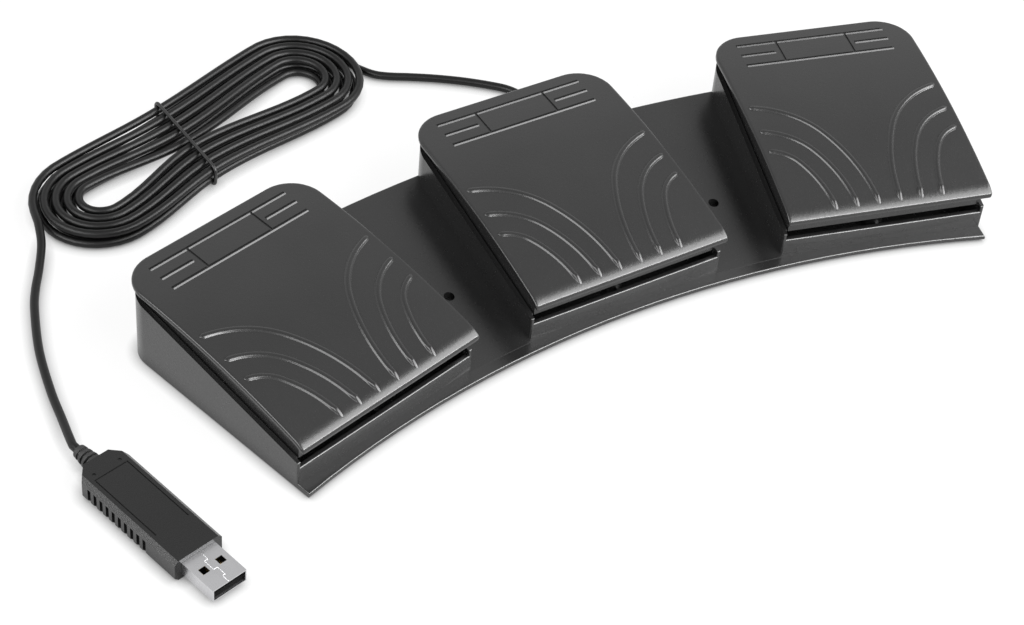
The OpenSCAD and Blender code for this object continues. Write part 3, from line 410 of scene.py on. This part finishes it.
def top_at(v):
    """Height of the top face at a place along v, and the sine and cosine of its slope towards the nose."""
    if v > join_v:
        slope = (crest_v - v) / cover_arc_r
        return arc_z + cover_arc_r * sqrt(1 - slope ** 2), slope, sqrt(1 - slope ** 2)
    slope = (nose_v - v) / nose_r
    return nose_z + nose_r * sqrt(1 - slope ** 2), slope, sqrt(1 - slope ** 2)


def groove_boxes():
    """Plans of the fine grooves round the bare rectangle."""
    front_v = groove_rear_v - panel_depth
    middle_v = (front_v + groove_rear_v) / 2
    half = groove_w / 2
    boxes = [(-groove_half, groove_half, v - half, v + half) for v in (front_v, groove_rear_v)]
    for s in (-1, 1):
        boxes.append((s * panel_half - half, s * panel_half + half, front_v, groove_rear_v))
        near, far = sorted((s * short_start, s * groove_half))
        boxes.append((near, far, middle_v - half, middle_v + half))
    return boxes


def groove_depth(u, v, boxes):
    """How far the top face is sunk at a place of its grid: down in a groove and up on a lip."""
    for u0, u1, v0, v1 in boxes:
        within_u = u0 + groove_wall < u + tiny and u < u1 - groove_wall + tiny
        if within_u and v0 + groove_wall < v + tiny and v < v1 - groove_wall + tiny:
            return groove_d
    for u0, u1, v0, v1 in boxes:
        if u1 - u0 > v1 - v0 and u0 < u < u1 and abs(v - v0 + lip_crest) < tiny:
            return -lip_h
    return 0


def filled(cuts, widest):
    """Sorted cuts, with the wide gaps between them divided evenly."""
    cuts = sorted(set(round(c, 4) for c in cuts))
    line = [cuts[0]]
    for a, b in zip(cuts, cuts[1:]):
        if b - a < 0.02:
            continue
        parts = int((b - a) / widest) + 1
        line += [a + (b - a) * k / parts for k in range(1, parts + 1)]
    return line


def rim_width(v):
    if v <= corner_v:
        return rim_half
    return corner_u + sqrt(max(0, rim_corner_r ** 2 - (v - corner_v) ** 2))


def skirt_place(u, v, inset):
    """The place on the skirt's outline, inset from its outer face, that belongs to a place on the rim."""
    half = skirt_half - inset
    corner = skirt_corner_r - inset
    rear = skirt_rear - inset
    if v > corner_v and abs(u) > corner_u:
        a = atan2(v - corner_v, abs(u) - corner_u)
        return copysign(half - corner + corner * cos(a), u), rear - corner + corner * sin(a)
    if v > corner_v:
        return u * (half - corner) / corner_u, rear
    return min(half, max(-half, u * half / rim_half)), max(inset - skirt_front, min(v, rear - corner))


def add_ring_mesh(bm, rings, closed=True):
    """Skins a list of rings of vertices, in order."""
    for a, b in zip(rings, rings[1:]):
        count = len(a)
        for k in range(count if closed else count - 1):
            n = (k + 1) % count
            corners = [a[k], a[n], b[n], b[k]]
            unique = [c for j, c in enumerate(corners) if c not in corners[:j]]
            if len(unique) > 2:
                bm.faces.new(unique)


def add_plate(bm):
    """The cover's plate and skirt as one closed shell, with rounded rims and fine grooves."""
    boxes = groove_boxes()
    cols, rows = [], []
    for u0, u1, v0, v1 in boxes:
        cols += [u0, u0 + groove_wall, u1 - groove_wall, u1]
        rows += [v0, v0 + groove_wall, v1 - groove_wall, v1]
        if u1 - u0 > v1 - v0:
            rows += [v0 - lip_w, v0 - lip_crest]
    cols += [-rim_half, rim_half, rim_band - rim_half, rim_half - rim_band]
    nose_turn = nose_slope - edge_r / nose_r - nose_start
    bend = [nose_start + nose_turn * k / bend_steps for k in range(bend_steps + 1)]
    rows += [nose_v - nose_r * sin(a) for a in bend]
    rows += [corner_v + rim_corner_r * sin(radians(a)) for a in corner_angles]
    cols = filled(cols, col_step)
    rows = filled(rows, row_step)
    far_v = groove_rear_v + groove_w
    grid = []
    for v in rows:
        z, sn, cs = top_at(v)
        fixed = groove_half + groove_margin if v < far_v else groove_half / 2
        line = []
        for u in cols:
            d = groove_depth(u, v, boxes)
            if abs(u) > fixed:
                u = copysign(fixed + (abs(u) - fixed) * (rim_width(v) - fixed) / (rim_half - fixed), u)
            line.append(bm.verts.new((u, v + d * sn, z - d * cs)))
        grid.append(line)
    for a, b in zip(grid, grid[1:]):
        for k in range(len(cols) - 1):
            bm.faces.new((a[k], a[k + 1], b[k + 1], b[k]))
    # The rim, counter-clockwise from the nose's left corner: vertex, outward way and the row's slope
    fan = [radians(a) for a in (0, 22.5, 45, 67.5, 90)]
    last = len(rows) - 1
    rim = []
    for k, vert in enumerate(grid[0]):
        ends = {0: [(-cos(a), -sin(a)) for a in fan], len(cols) - 1: [(sin(a), -cos(a)) for a in fan]}
        rim += [(vert, out, rows[0]) for out in ends.get(k, [(0, -1)])]
    for side, k in ((1, len(cols) - 1), (-1, 0)):
        stretch = []
        for r in range(1, last):
            a = asin(min(1, max(0, rows[r] - corner_v) / rim_corner_r))
            stretch.append((grid[r][k], (side * cos(a), sin(a)), rows[r]))
        if side == 1:
            rim += stretch
            rim += [(vert, (0, 1), rows[last]) for vert in reversed(grid[last])]
        else:
            rim += reversed(stretch)

    def rim_ring(outs, downs):
        ring = []
        for vert, (ou, ov), v in rim:
            z, sn, cs = top_at(v)
            lip = max(0, -ov)
            down = Vector((0, sn, -cs)) * (1 - lip) + Vector((0, 0.1, -1)) * lip
            ring.append(bm.verts.new(vert.co + Vector((ou, ov * cs, ov * sn)) * outs + down * downs))
        return ring

    rings = [[vert for vert, out, v in rim]]
    for k in range(1, edge_steps + 1):
        a = pi / 2 * k / edge_steps
        rings.append(rim_ring(edge_r * sin(a), edge_r * (1 - cos(a))))
    for a in (0, pi / 4, pi / 2):
        rings.append(rim_ring(edge_r - low_r + low_r * cos(a), cover_t - low_r + low_r * sin(a)))

    def skirt_ring(inset, low):
        ring = []
        for vert, out, v in rim:
            u, w = skirt_place(vert.co.x, v, inset)
            z, sn, cs = top_at(w)
            z = skirt_low + skirt_rise * (w + skirt_front) if low else z - cover_t / cs
            ring.append(bm.verts.new((u, w, z)))
        return ring

    for inset, low in ((0, False), (0, True), (skirt_t, True), (skirt_t, False)):
        rings.append(skirt_ring(inset, low))
    add_ring_mesh(bm, rings[::-1])
    # The underside, in strips from side to side
    inner = rings[-1]
    nose_count = len(cols) + 2 * (len(fan) - 1)
    sides = last - 1
    right_side = inner[nose_count:nose_count + sides]
    rear_line = inner[nose_count + sides:nose_count + sides + len(cols)]
    left_side = inner[nose_count + sides + len(cols):][::-1]
    bm.faces.new([left_side[0]] + [right_side[0]] + inner[:nose_count][::-1])
    for k in range(sides - 1):
        bm.faces.new((left_side[k], left_side[k + 1], right_side[k + 1], right_side[k]))
    bm.faces.new([right_side[-1], left_side[-1]] + rear_line[::-1])


def ridge_line(number):
    """Middle line of one ridge: a long arc up from the nose, then a short arc that turns to the side."""
    turn_at, end_slope = radians(60), radians(10)
    nose_u = ridge_step * (number + 0.5)
    run_u = cover_w / 2 - ridge_margin - nose_u
    run_v = ridge_first_v - ridge_drops[number] + nose_reach
    a, b = 1 - sin(turn_at), sin(turn_at) - sin(end_slope)
    c, d = cos(turn_at), cos(end_slope) - cos(turn_at)
    long_r = (run_u * d - b * run_v) / (a * d - b * c)
    short_r = (a * run_v - run_u * c) / (a * d - b * c)
    long_c = Vector((nose_u + long_r, -nose_reach))
    short_c = long_c + (long_r - short_r) * Vector((-sin(turn_at), cos(turn_at)))
    start = pi / 2 - asin(ridge_start / long_r)
    line = []
    for k in range(ridge_points + 1):
        t = start + (end_slope - start) * k / ridge_points
        middle, r = (long_c, long_r) if t > turn_at else (short_c, short_r)
        line.append(middle + r * Vector((-sin(t), cos(t))))
    return line


def add_ridge(bm, number, side):
    """One raised ridge with a rounded crest and rounded ends, sunk a little into the top face."""
    section = list(ridge_half) + [(-q, h) for q, h in ridge_half[-2::-1]]
    points = []
    for p in ridge_line(number):
        z, sn, cs = top_at(p.y)
        points.append((Vector((side * p.x, p.y, z)), Vector((0, -sn, cs))))
    places = [place for place, normal in points]
    reach = [0]
    for a, b in zip(places, places[1:]):
        reach.append(reach[-1] + (b - a).length)
    rings = []
    for k, (p, normal) in enumerate(points):
        way = (places[min(k + 1, len(places) - 1)] - places[max(k - 1, 0)]).normalized()
        across = way.cross(normal)
        from_side = min(1, (reach[-1] - reach[k]) / ridge_tip)
        size = max(0.1, sqrt(1 - (1 - from_side) ** 2))
        on_ramp = min(1, reach[k] / drop_l)
        on_back = min(1, max(0, reach[k] - drop_l) / drop_back)
        wide = size * (drop_end + (1 - drop_end) * sqrt(on_ramp))
        high = size * on_ramp * (drop_h + (1 - drop_h) * on_back)
        ring = []
        for q, h in section:
            rise = h if h < 0 else h * high
            ring.append(bm.verts.new(p + across * q * wide + normal * rise))
        rings.append(ring)
    if side > 0:
        rings.reverse()
    add_ring_mesh(bm, rings)
    bm.faces.new(rings[0][::-1])
    bm.faces.new(rings[-1])


# Under the plate, as in the solids: hinge eyes on posts, the switch's pusher, the spring's seat and two ribs
eye_u = (28.6, 33)
eye_v = 37
eye_z = 19.5
eye_r = 3.95
eye_bore = 1.55
post_half = 1.2
post_low = 21.8
pusher = (20, 2, 14.8)
spring_seat = (-12, 5.45, 19.3)
spring_core = (-12, 3, 16.3)
rib_u = 16
rib_half = 0.7
rib_d = 4.6
rib_ends = (-19.5, 37)
round_points = 24


def add_post(bm, outline, low):
    """A post from a level up into the plate, on a counter-clockwise plan."""
    rings = [[bm.verts.new((u, v, low)) for u, v in outline],
             [bm.verts.new((u, v, top_at(v)[0] - cover_t / 2)) for u, v in outline]]
    add_ring_mesh(bm, rings)
    bm.faces.new(rings[0][::-1])
    bm.faces.new(rings[1])


def add_under(bm):
    circle = [(cos(2 * pi * k / round_points), sin(2 * pi * k / round_points)) for k in range(round_points)]
    for middle, r, low in (pusher, spring_seat, spring_core):
        add_post(bm, [(r * c, middle + r * d) for c, d in circle], low)
    for side in (-1, 1):
        inner, outer = sorted(side * u for u in eye_u)
        plan = [(inner, eye_v - post_half), (outer, eye_v - post_half), (outer, eye_v + post_half),
                (inner, eye_v + post_half)]
        add_post(bm, plan, post_low)
        rings = []
        for u, r in ((inner, eye_bore), (inner, eye_r), (outer, eye_r), (outer, eye_bore)):
            rings.append([bm.verts.new((u, eye_v + r * c, eye_z + r * d)) for c, d in circle])
        add_ring_mesh(bm, rings + rings[:1])
        rings = []
        for k in range(round_points + 1):
            v = rib_ends[0] + (rib_ends[1] - rib_ends[0]) * k / round_points
            top = top_at(v)[0]
            rings.append([bm.verts.new((side * rib_u + q, v, top - d))
                          for q, d in ((-rib_half, rib_d), (rib_half, rib_d), (rib_half, cover_t / 2),
                                       (-rib_half, cover_t / 2))])
        add_ring_mesh(bm, rings)
        bm.faces.new(rings[0])
        bm.faces.new(rings[-1][::-1])


def make_cover(name, i):
    bm = bmesh.new()
    add_plate(bm)
    for number in range(len(ridge_drops)):
        for side in (-1, 1):
            add_ridge(bm, number, side)
    add_under(bm)
    bmesh.ops.remove_doubles(bm, verts=bm.verts, dist=cover_weld)
    bmesh.ops.dissolve_degenerate(bm, edges=bm.edges, dist=cover_weld)
    bmesh.ops.recalc_face_normals(bm, faces=bm.faces)
    for vert in bm.verts:
        vert.co = placed(i, *vert.co) * mm
    for face in bm.faces:
        face.smooth = True
    data = bpy.data.meshes.new("cover_" + name)
    bm.to_mesh(data)
    bm.free()
    data.set_sharp_from_angle(angle=cover_crease)
    cover = bpy.data.objects.new("cover_" + name, data)
    scene.collection.objects.link(cover)
    cover.modifiers.new("normals", "WEIGHTED_NORMAL").keep_sharp = True
    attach(cover, "pedal_" + name)
    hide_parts("pedal_cover_" + name)
    return cover


covers = [make_cover(name, i) for name, i in pedals.items()]


def make_spring(name):
    spring = bpy.data.objects.new("spring_" + name, nodes["return_spring_" + name].data.copy())
    scene.collection.objects.link(spring)
    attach(spring, "base")
    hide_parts("return_spring_" + name)
    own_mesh(spring)
    return spring


springs = [make_spring(name) for name in pedals]


# Base: the solid's own mesh, with a small round on the edges that show
base_edge_r = 0.55
front_wall_v = -29.5
front_wall_top = 8.6
flange_top = 2.3
base_low = 0.5
bridge_r = fan_r + 45.5
bridge_top = 12.8
near = 0.03
base_weld = 0.000002
flat_angle = radians(0.3)
crease = radians(30)
smooth_angle = radians(7)
round_angle = radians(40)


def in_pedal(i, point):
    """A point of the part's frame, in millimetres, in pedal i's frame."""
    a = radians(i * fan_step)
    x, y = point.x, point.y + fan_y
    return Vector((x * cos(a) - y * sin(a), x * sin(a) + y * cos(a) - fan_r, point.z))


def edge_shows(ends):
    """Whether an edge, given by its two ends in millimetres, is one of the base's outer lines."""
    for r, heights in ((flange_r, (flange_top, base_low)), (bridge_r, (bridge_top,))):
        on_arc = all(abs(sqrt(p.x ** 2 + (p.y + fan_y) ** 2) - r) < near for p in ends)
        if on_arc and any(all(abs(p.z - z) < near for p in ends) for z in heights):
            return True
    for i in pedals.values():
        a, b = (in_pedal(i, p) for p in ends)
        on_front = abs(a.y - front_wall_v) < near and abs(b.y - front_wall_v) < near
        if on_front and min(a.z, b.z) > front_wall_top - near:
            return True
        at_corner = all(abs(abs(p.x) - box_w / 2) < near for p in (a, b))
        if on_front and at_corner:
            return True
        in_front = max(a.y, b.y) < front_wall_v + near
        if at_corner and i and in_front and min(a.z, b.z) > base_low + near:
            return True
    return False


def make_base():
    bm = bmesh.new()
    bm.from_mesh(nodes["base_shell"].data)
    bmesh.ops.remove_doubles(bm, verts=bm.verts, dist=base_weld)
    bmesh.ops.dissolve_limit(bm, angle_limit=flat_angle, verts=bm.verts, edges=bm.edges)
    chosen = []
    for edge in bm.edges:
        if edge.is_manifold and edge.calc_face_angle() > crease:
            if edge_shows([vert.co / mm for vert in edge.verts]):
                chosen.append(edge)
    round_faces = bmesh.ops.bevel(bm, geom=chosen, offset=base_edge_r * mm, offset_type="OFFSET", segments=3,
                                  profile=0.5, affect="EDGES", clamp_overlap=False)["faces"]
    round_faces = set(round_faces)
    bmesh.ops.recalc_face_normals(bm, faces=bm.faces)
    for face in bm.faces:
        face.smooth = True
    for edge in bm.edges:
        angle = edge.calc_face_angle() if edge.is_manifold else pi
        on_round = any(face in round_faces for face in edge.link_faces)
        edge.smooth = angle < (round_angle if on_round else smooth_angle)
    data = bpy.data.meshes.new("base_body")
    bm.to_mesh(data)
    bm.free()
    body = bpy.data.objects.new("base_body", data)
    scene.collection.objects.link(body)
    body.modifiers.new("normals", "WEIGHTED_NORMAL").keep_sharp = True
    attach(body, "base")
    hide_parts("base_shell")
    return body


base_body = make_base()


# Materials: blotches of colour, grain in the gloss and the bump
blotch_scale = 35
colour_spread = 0.1
gloss_spread = 0.04
bump_depth = 0.0002


def grey(level):
    """A neutral colour whose sRGB value is level, out of 255."""
    c = level / 255
    lin = c / 12.92 if c <= 0.04045 else ((c + 0.055) / 1.055) ** 2.4
    return (lin, lin, lin, 1)


def plastic(name, level, rough, grain_scale=900, grain=0.12, tint=(1, 1, 1), ior=1.55):
    """Moulded plastic: fine grain in the bump, with a little variation of colour and gloss."""
    mat = bpy.data.materials.new(name)
    mat.use_nodes = True
    tree = mat.node_tree
    shader = tree.nodes["Principled BSDF"]
    shader.inputs["IOR"].default_value = ior
    coords = tree.nodes.new("ShaderNodeTexCoord")
    fine = tree.nodes.new("ShaderNodeTexNoise")
    fine.inputs["Scale"].default_value = grain_scale
    fine.inputs["Detail"].default_value = 3
    broad = tree.nodes.new("ShaderNodeTexNoise")
    broad.inputs["Scale"].default_value = blotch_scale
    broad.inputs["Detail"].default_value = 2
    tree.links.new(coords.outputs["Object"], fine.inputs["Vector"])
    tree.links.new(coords.outputs["Object"], broad.inputs["Vector"])
    ramp = tree.nodes.new("ShaderNodeValToRGB")
    base = grey(level)
    dark = [(1 - colour_spread) * base[k] * tint[k] for k in range(3)]
    pale = [(1 + colour_spread) * base[k] * tint[k] for k in range(3)]
    ramp.color_ramp.elements[0].color = (*dark, 1)
    ramp.color_ramp.elements[0].position = 0.35
    ramp.color_ramp.elements[1].color = (*pale, 1)
    ramp.color_ramp.elements[1].position = 0.65
    tree.links.new(broad.outputs["Fac"], ramp.inputs["Fac"])
    tree.links.new(ramp.outputs["Color"], shader.inputs["Base Color"])
    gloss = tree.nodes.new("ShaderNodeMapRange")
    gloss.inputs["To Min"].default_value = rough - gloss_spread
    gloss.inputs["To Max"].default_value = rough + gloss_spread
    tree.links.new(fine.outputs["Fac"], gloss.inputs["Value"])
    tree.links.new(gloss.outputs["Result"], shader.inputs["Roughness"])
    bump = tree.nodes.new("ShaderNodeBump")
    bump.inputs["Strength"].default_value = grain
    bump.inputs["Distance"].default_value = bump_depth
    tree.links.new(fine.outputs["Fac"], bump.inputs["Height"])
    tree.links.new(bump.outputs["Normal"], shader.inputs["Normal"])
    return mat


def metal(name, colour, rough):
    """Plated or plain metal with a fine grain."""
    mat = plastic(name, 200, rough, grain_scale=400, grain=0.05, tint=colour)
    mat.node_tree.nodes["Principled BSDF"].inputs["Metallic"].default_value = 1
    return mat


cover_plastic = plastic("cover_plastic", 24, 0.26)
base_plastic = plastic("base_plastic", 24, 0.26, ior=1.6)
black_plastic = plastic("black_plastic", 10, 0.4)
plug_plastic = plastic("plug_plastic", 8, 0.28, grain_scale=4000, grain=0.3, ior=1.48)
cord_jacket = plastic("cord_jacket", 6, 0.4, ior=1.36)
wire_jacket = plastic("wire_jacket", 90, 0.45, tint=(1.2, 0.3, 0.3))
foot_rubber = plastic("foot_rubber", 24, 0.6)
# The plug's tongue: black, drawn darker and duller than black plastic as painted shade inside the shell's
# mouth
mouth_shade_black = plastic("mouth_shade_black", 4, 0.8, ior=1.2)
pale_plastic = plastic("pale_plastic", 225, 0.5)
red_plastic = plastic("red_plastic", 120, 0.35, tint=(2, 0.25, 0.2))
board_coat = plastic("board", 80, 0.35, tint=(0.4, 1.6, 0.7))
steel = metal("steel", (0.75, 0.75, 0.77), 0.35)
plug_metal = metal("plug_metal", (0.95, 0.95, 0.97), 0.28)
contact_metal = metal("contact_metal", (1.1, 0.8, 0.35), 0.3)
slot_materials = {
    "cover_plastic": cover_plastic, "base_plastic": base_plastic, "black_plastic": black_plastic,
    "plug_plastic": plug_plastic, "cord_jacket": cord_jacket, "wire_jacket": wire_jacket,
    "foot_rubber": foot_rubber, "pale_plastic": pale_plastic, "red_plastic": red_plastic, "board": board_coat,
    "steel": steel, "plug_metal": plug_metal, "contact_metal": contact_metal}


def paint(obj, mat):
    obj.data.materials.clear()
    obj.data.materials.append(mat)


for entry in frame["record"]["subparts"]:
    paint(nodes[entry["node"]], slot_materials[entry["material_slot"]])
paint(cord, cord_jacket)
for cover in covers:
    paint(cover, cover_plastic)
for spring in springs:
    paint(spring, steel)
paint(base_body, base_plastic)
paint(tie, black_plastic)
paint(seam, plug_metal)
# The tongue gets the near-black, dull material: painted shade in the shell's mouth
paint(nodes["plug_tongue"], mouth_shade_black)


# The boot's crisp edges get a small round that catches the light
boot_edge_r = 0.15


def soften(obj, width):
    weld = obj.modifiers.new("weld", "WELD")
    weld.merge_threshold = 0.000005
    flat = obj.modifiers.new("flat", "DECIMATE")
    flat.decimate_type = "DISSOLVE"
    flat.angle_limit = radians(0.2)
    bevel = obj.modifiers.new("bevel", "BEVEL")
    bevel.width = width * mm
    bevel.segments = 2
    bevel.limit_method = "ANGLE"
    bevel.angle_limit = radians(40)
    bevel.use_clamp_overlap = True
    normals = obj.modifiers.new("normals", "WEIGHTED_NORMAL")
    normals.keep_sharp = True


soften(nodes["plug_boot"], boot_edge_r)


# Stage: a white floor with painted shade in narrow gaps, and soft lamps
def seen_rays(tree):
    """One for rays from the camera and for mirrored or refracted ones, else zero."""
    path = tree.nodes.new("ShaderNodeLightPath")
    total = path.outputs["Is Camera Ray"]
    for kind in ("Is Glossy Ray", "Is Transmission Ray"):
        more = tree.nodes.new("ShaderNodeMath")
        more.operation = "MAXIMUM"
        tree.links.new(total, more.inputs[0])
        tree.links.new(path.outputs[kind], more.inputs[1])
        total = more.outputs["Value"]
    return total


floor_half = 3
floor_drop = 0.0002


def make_floor():
    half = floor_half
    corners = [(-half, -half, 0), (half, -half, 0), (half, half, 0), (-half, half, 0)]
    data = bpy.data.meshes.new("floor")
    data.from_pydata(corners, [], [(0, 1, 2, 3)])
    floor = bpy.data.objects.new("floor", data)
    floor.location.z = -floor_drop
    scene.collection.objects.link(floor)
    mat = bpy.data.materials.new("floor_white")
    mat.use_nodes = True
    tree = mat.node_tree
    tree.nodes.clear()
    out = tree.nodes.new("ShaderNodeOutputMaterial")
    diffuse = tree.nodes.new("ShaderNodeBsdfDiffuse")
    diffuse.inputs["Color"].default_value = (0.9, 0.9, 0.9, 1)
    glow = tree.nodes.new("ShaderNodeEmission")
    glow.inputs["Strength"].default_value = 1
    # Painted shade: ambient occlusion darkens the floor's glow, so the slits between the cord's strands and
    # the floor close against the parts stay dark
    slit_shade = tree.nodes.new("ShaderNodeAmbientOcclusion")
    slit_shade.samples = 8
    slit_shade.inputs["Distance"].default_value = 0.004
    tree.links.new(slit_shade.outputs["Color"], glow.inputs["Color"])
    seen = tree.nodes.new("ShaderNodeMath")
    seen.operation = "MULTIPLY"
    seen.inputs[1].default_value = 0.9
    mix = tree.nodes.new("ShaderNodeMixShader")
    tree.links.new(seen_rays(tree), seen.inputs[0])
    tree.links.new(seen.outputs["Value"], mix.inputs["Fac"])
    tree.links.new(diffuse.outputs["BSDF"], mix.inputs[1])
    tree.links.new(glow.outputs["Emission"], mix.inputs[2])
    tree.links.new(mix.outputs["Shader"], out.inputs["Surface"])
    paint(floor, mat)


def make_world():
    world = bpy.data.worlds.new("world")
    scene.world = world
    world.use_nodes = True
    tree = world.node_tree
    back = tree.nodes["Background"]
    back.inputs["Strength"].default_value = 1
    coords = tree.nodes.new("ShaderNodeTexCoord")
    split = tree.nodes.new("ShaderNodeSeparateXYZ")
    tree.links.new(coords.outputs["Generated"], split.inputs["Vector"])
    sky = tree.nodes.new("ShaderNodeValToRGB")
    sky.color_ramp.elements[0].position = 0.55
    sky.color_ramp.elements[0].color = (1, 1, 1, 1)
    sky.color_ramp.elements[1].position = 0.95
    sky.color_ramp.elements[1].color = (0.55, 0.55, 0.55, 1)
    tree.links.new(split.outputs["Z"], sky.inputs["Fac"])
    path = tree.nodes.new("ShaderNodeLightPath")
    mix = tree.nodes.new("ShaderNodeMixRGB")
    mix.inputs["Color2"].default_value = (1, 1, 1, 1)
    tree.links.new(path.outputs["Is Camera Ray"], mix.inputs["Fac"])
    tree.links.new(sky.outputs["Color"], mix.inputs["Color1"])
    tree.links.new(mix.outputs["Color"], back.inputs["Color"])
    level = tree.nodes.new("ShaderNodeMapRange")
    level.inputs["To Min"].default_value = 1
    level.inputs["To Max"].default_value = 0.3
    tree.links.new(path.outputs["Is Diffuse Ray"], level.inputs["Value"])
    tree.links.new(level.outputs["Result"], back.inputs["Strength"])


def make_lamp(name, place, target, size, power):
    data = bpy.data.lights.new(name, "AREA")
    data.shape = "RECTANGLE"
    data.size, data.size_y = size
    data.energy = power
    lamp = bpy.data.objects.new(name, data)
    lamp.location = place
    way = Vector(target) - Vector(place)
    lamp.rotation_euler = way.to_track_quat("-Z", "Y").to_euler()
    scene.collection.objects.link(lamp)


make_floor()
make_world()
make_lamp("front", (0.69, -0.76, 0.97), (0, 0, 0), (1.7, 0.85), 36)
make_lamp("strip", (0.5, -0.87, 0.6), (0, 0, 0), (1.1, 0.2), 11)
make_lamp("left", (-1.05, -0.1, 0.78), (0, 0, 0), (1.3, 0.6), 15)
scene.view_settings.view_transform = "Standard"
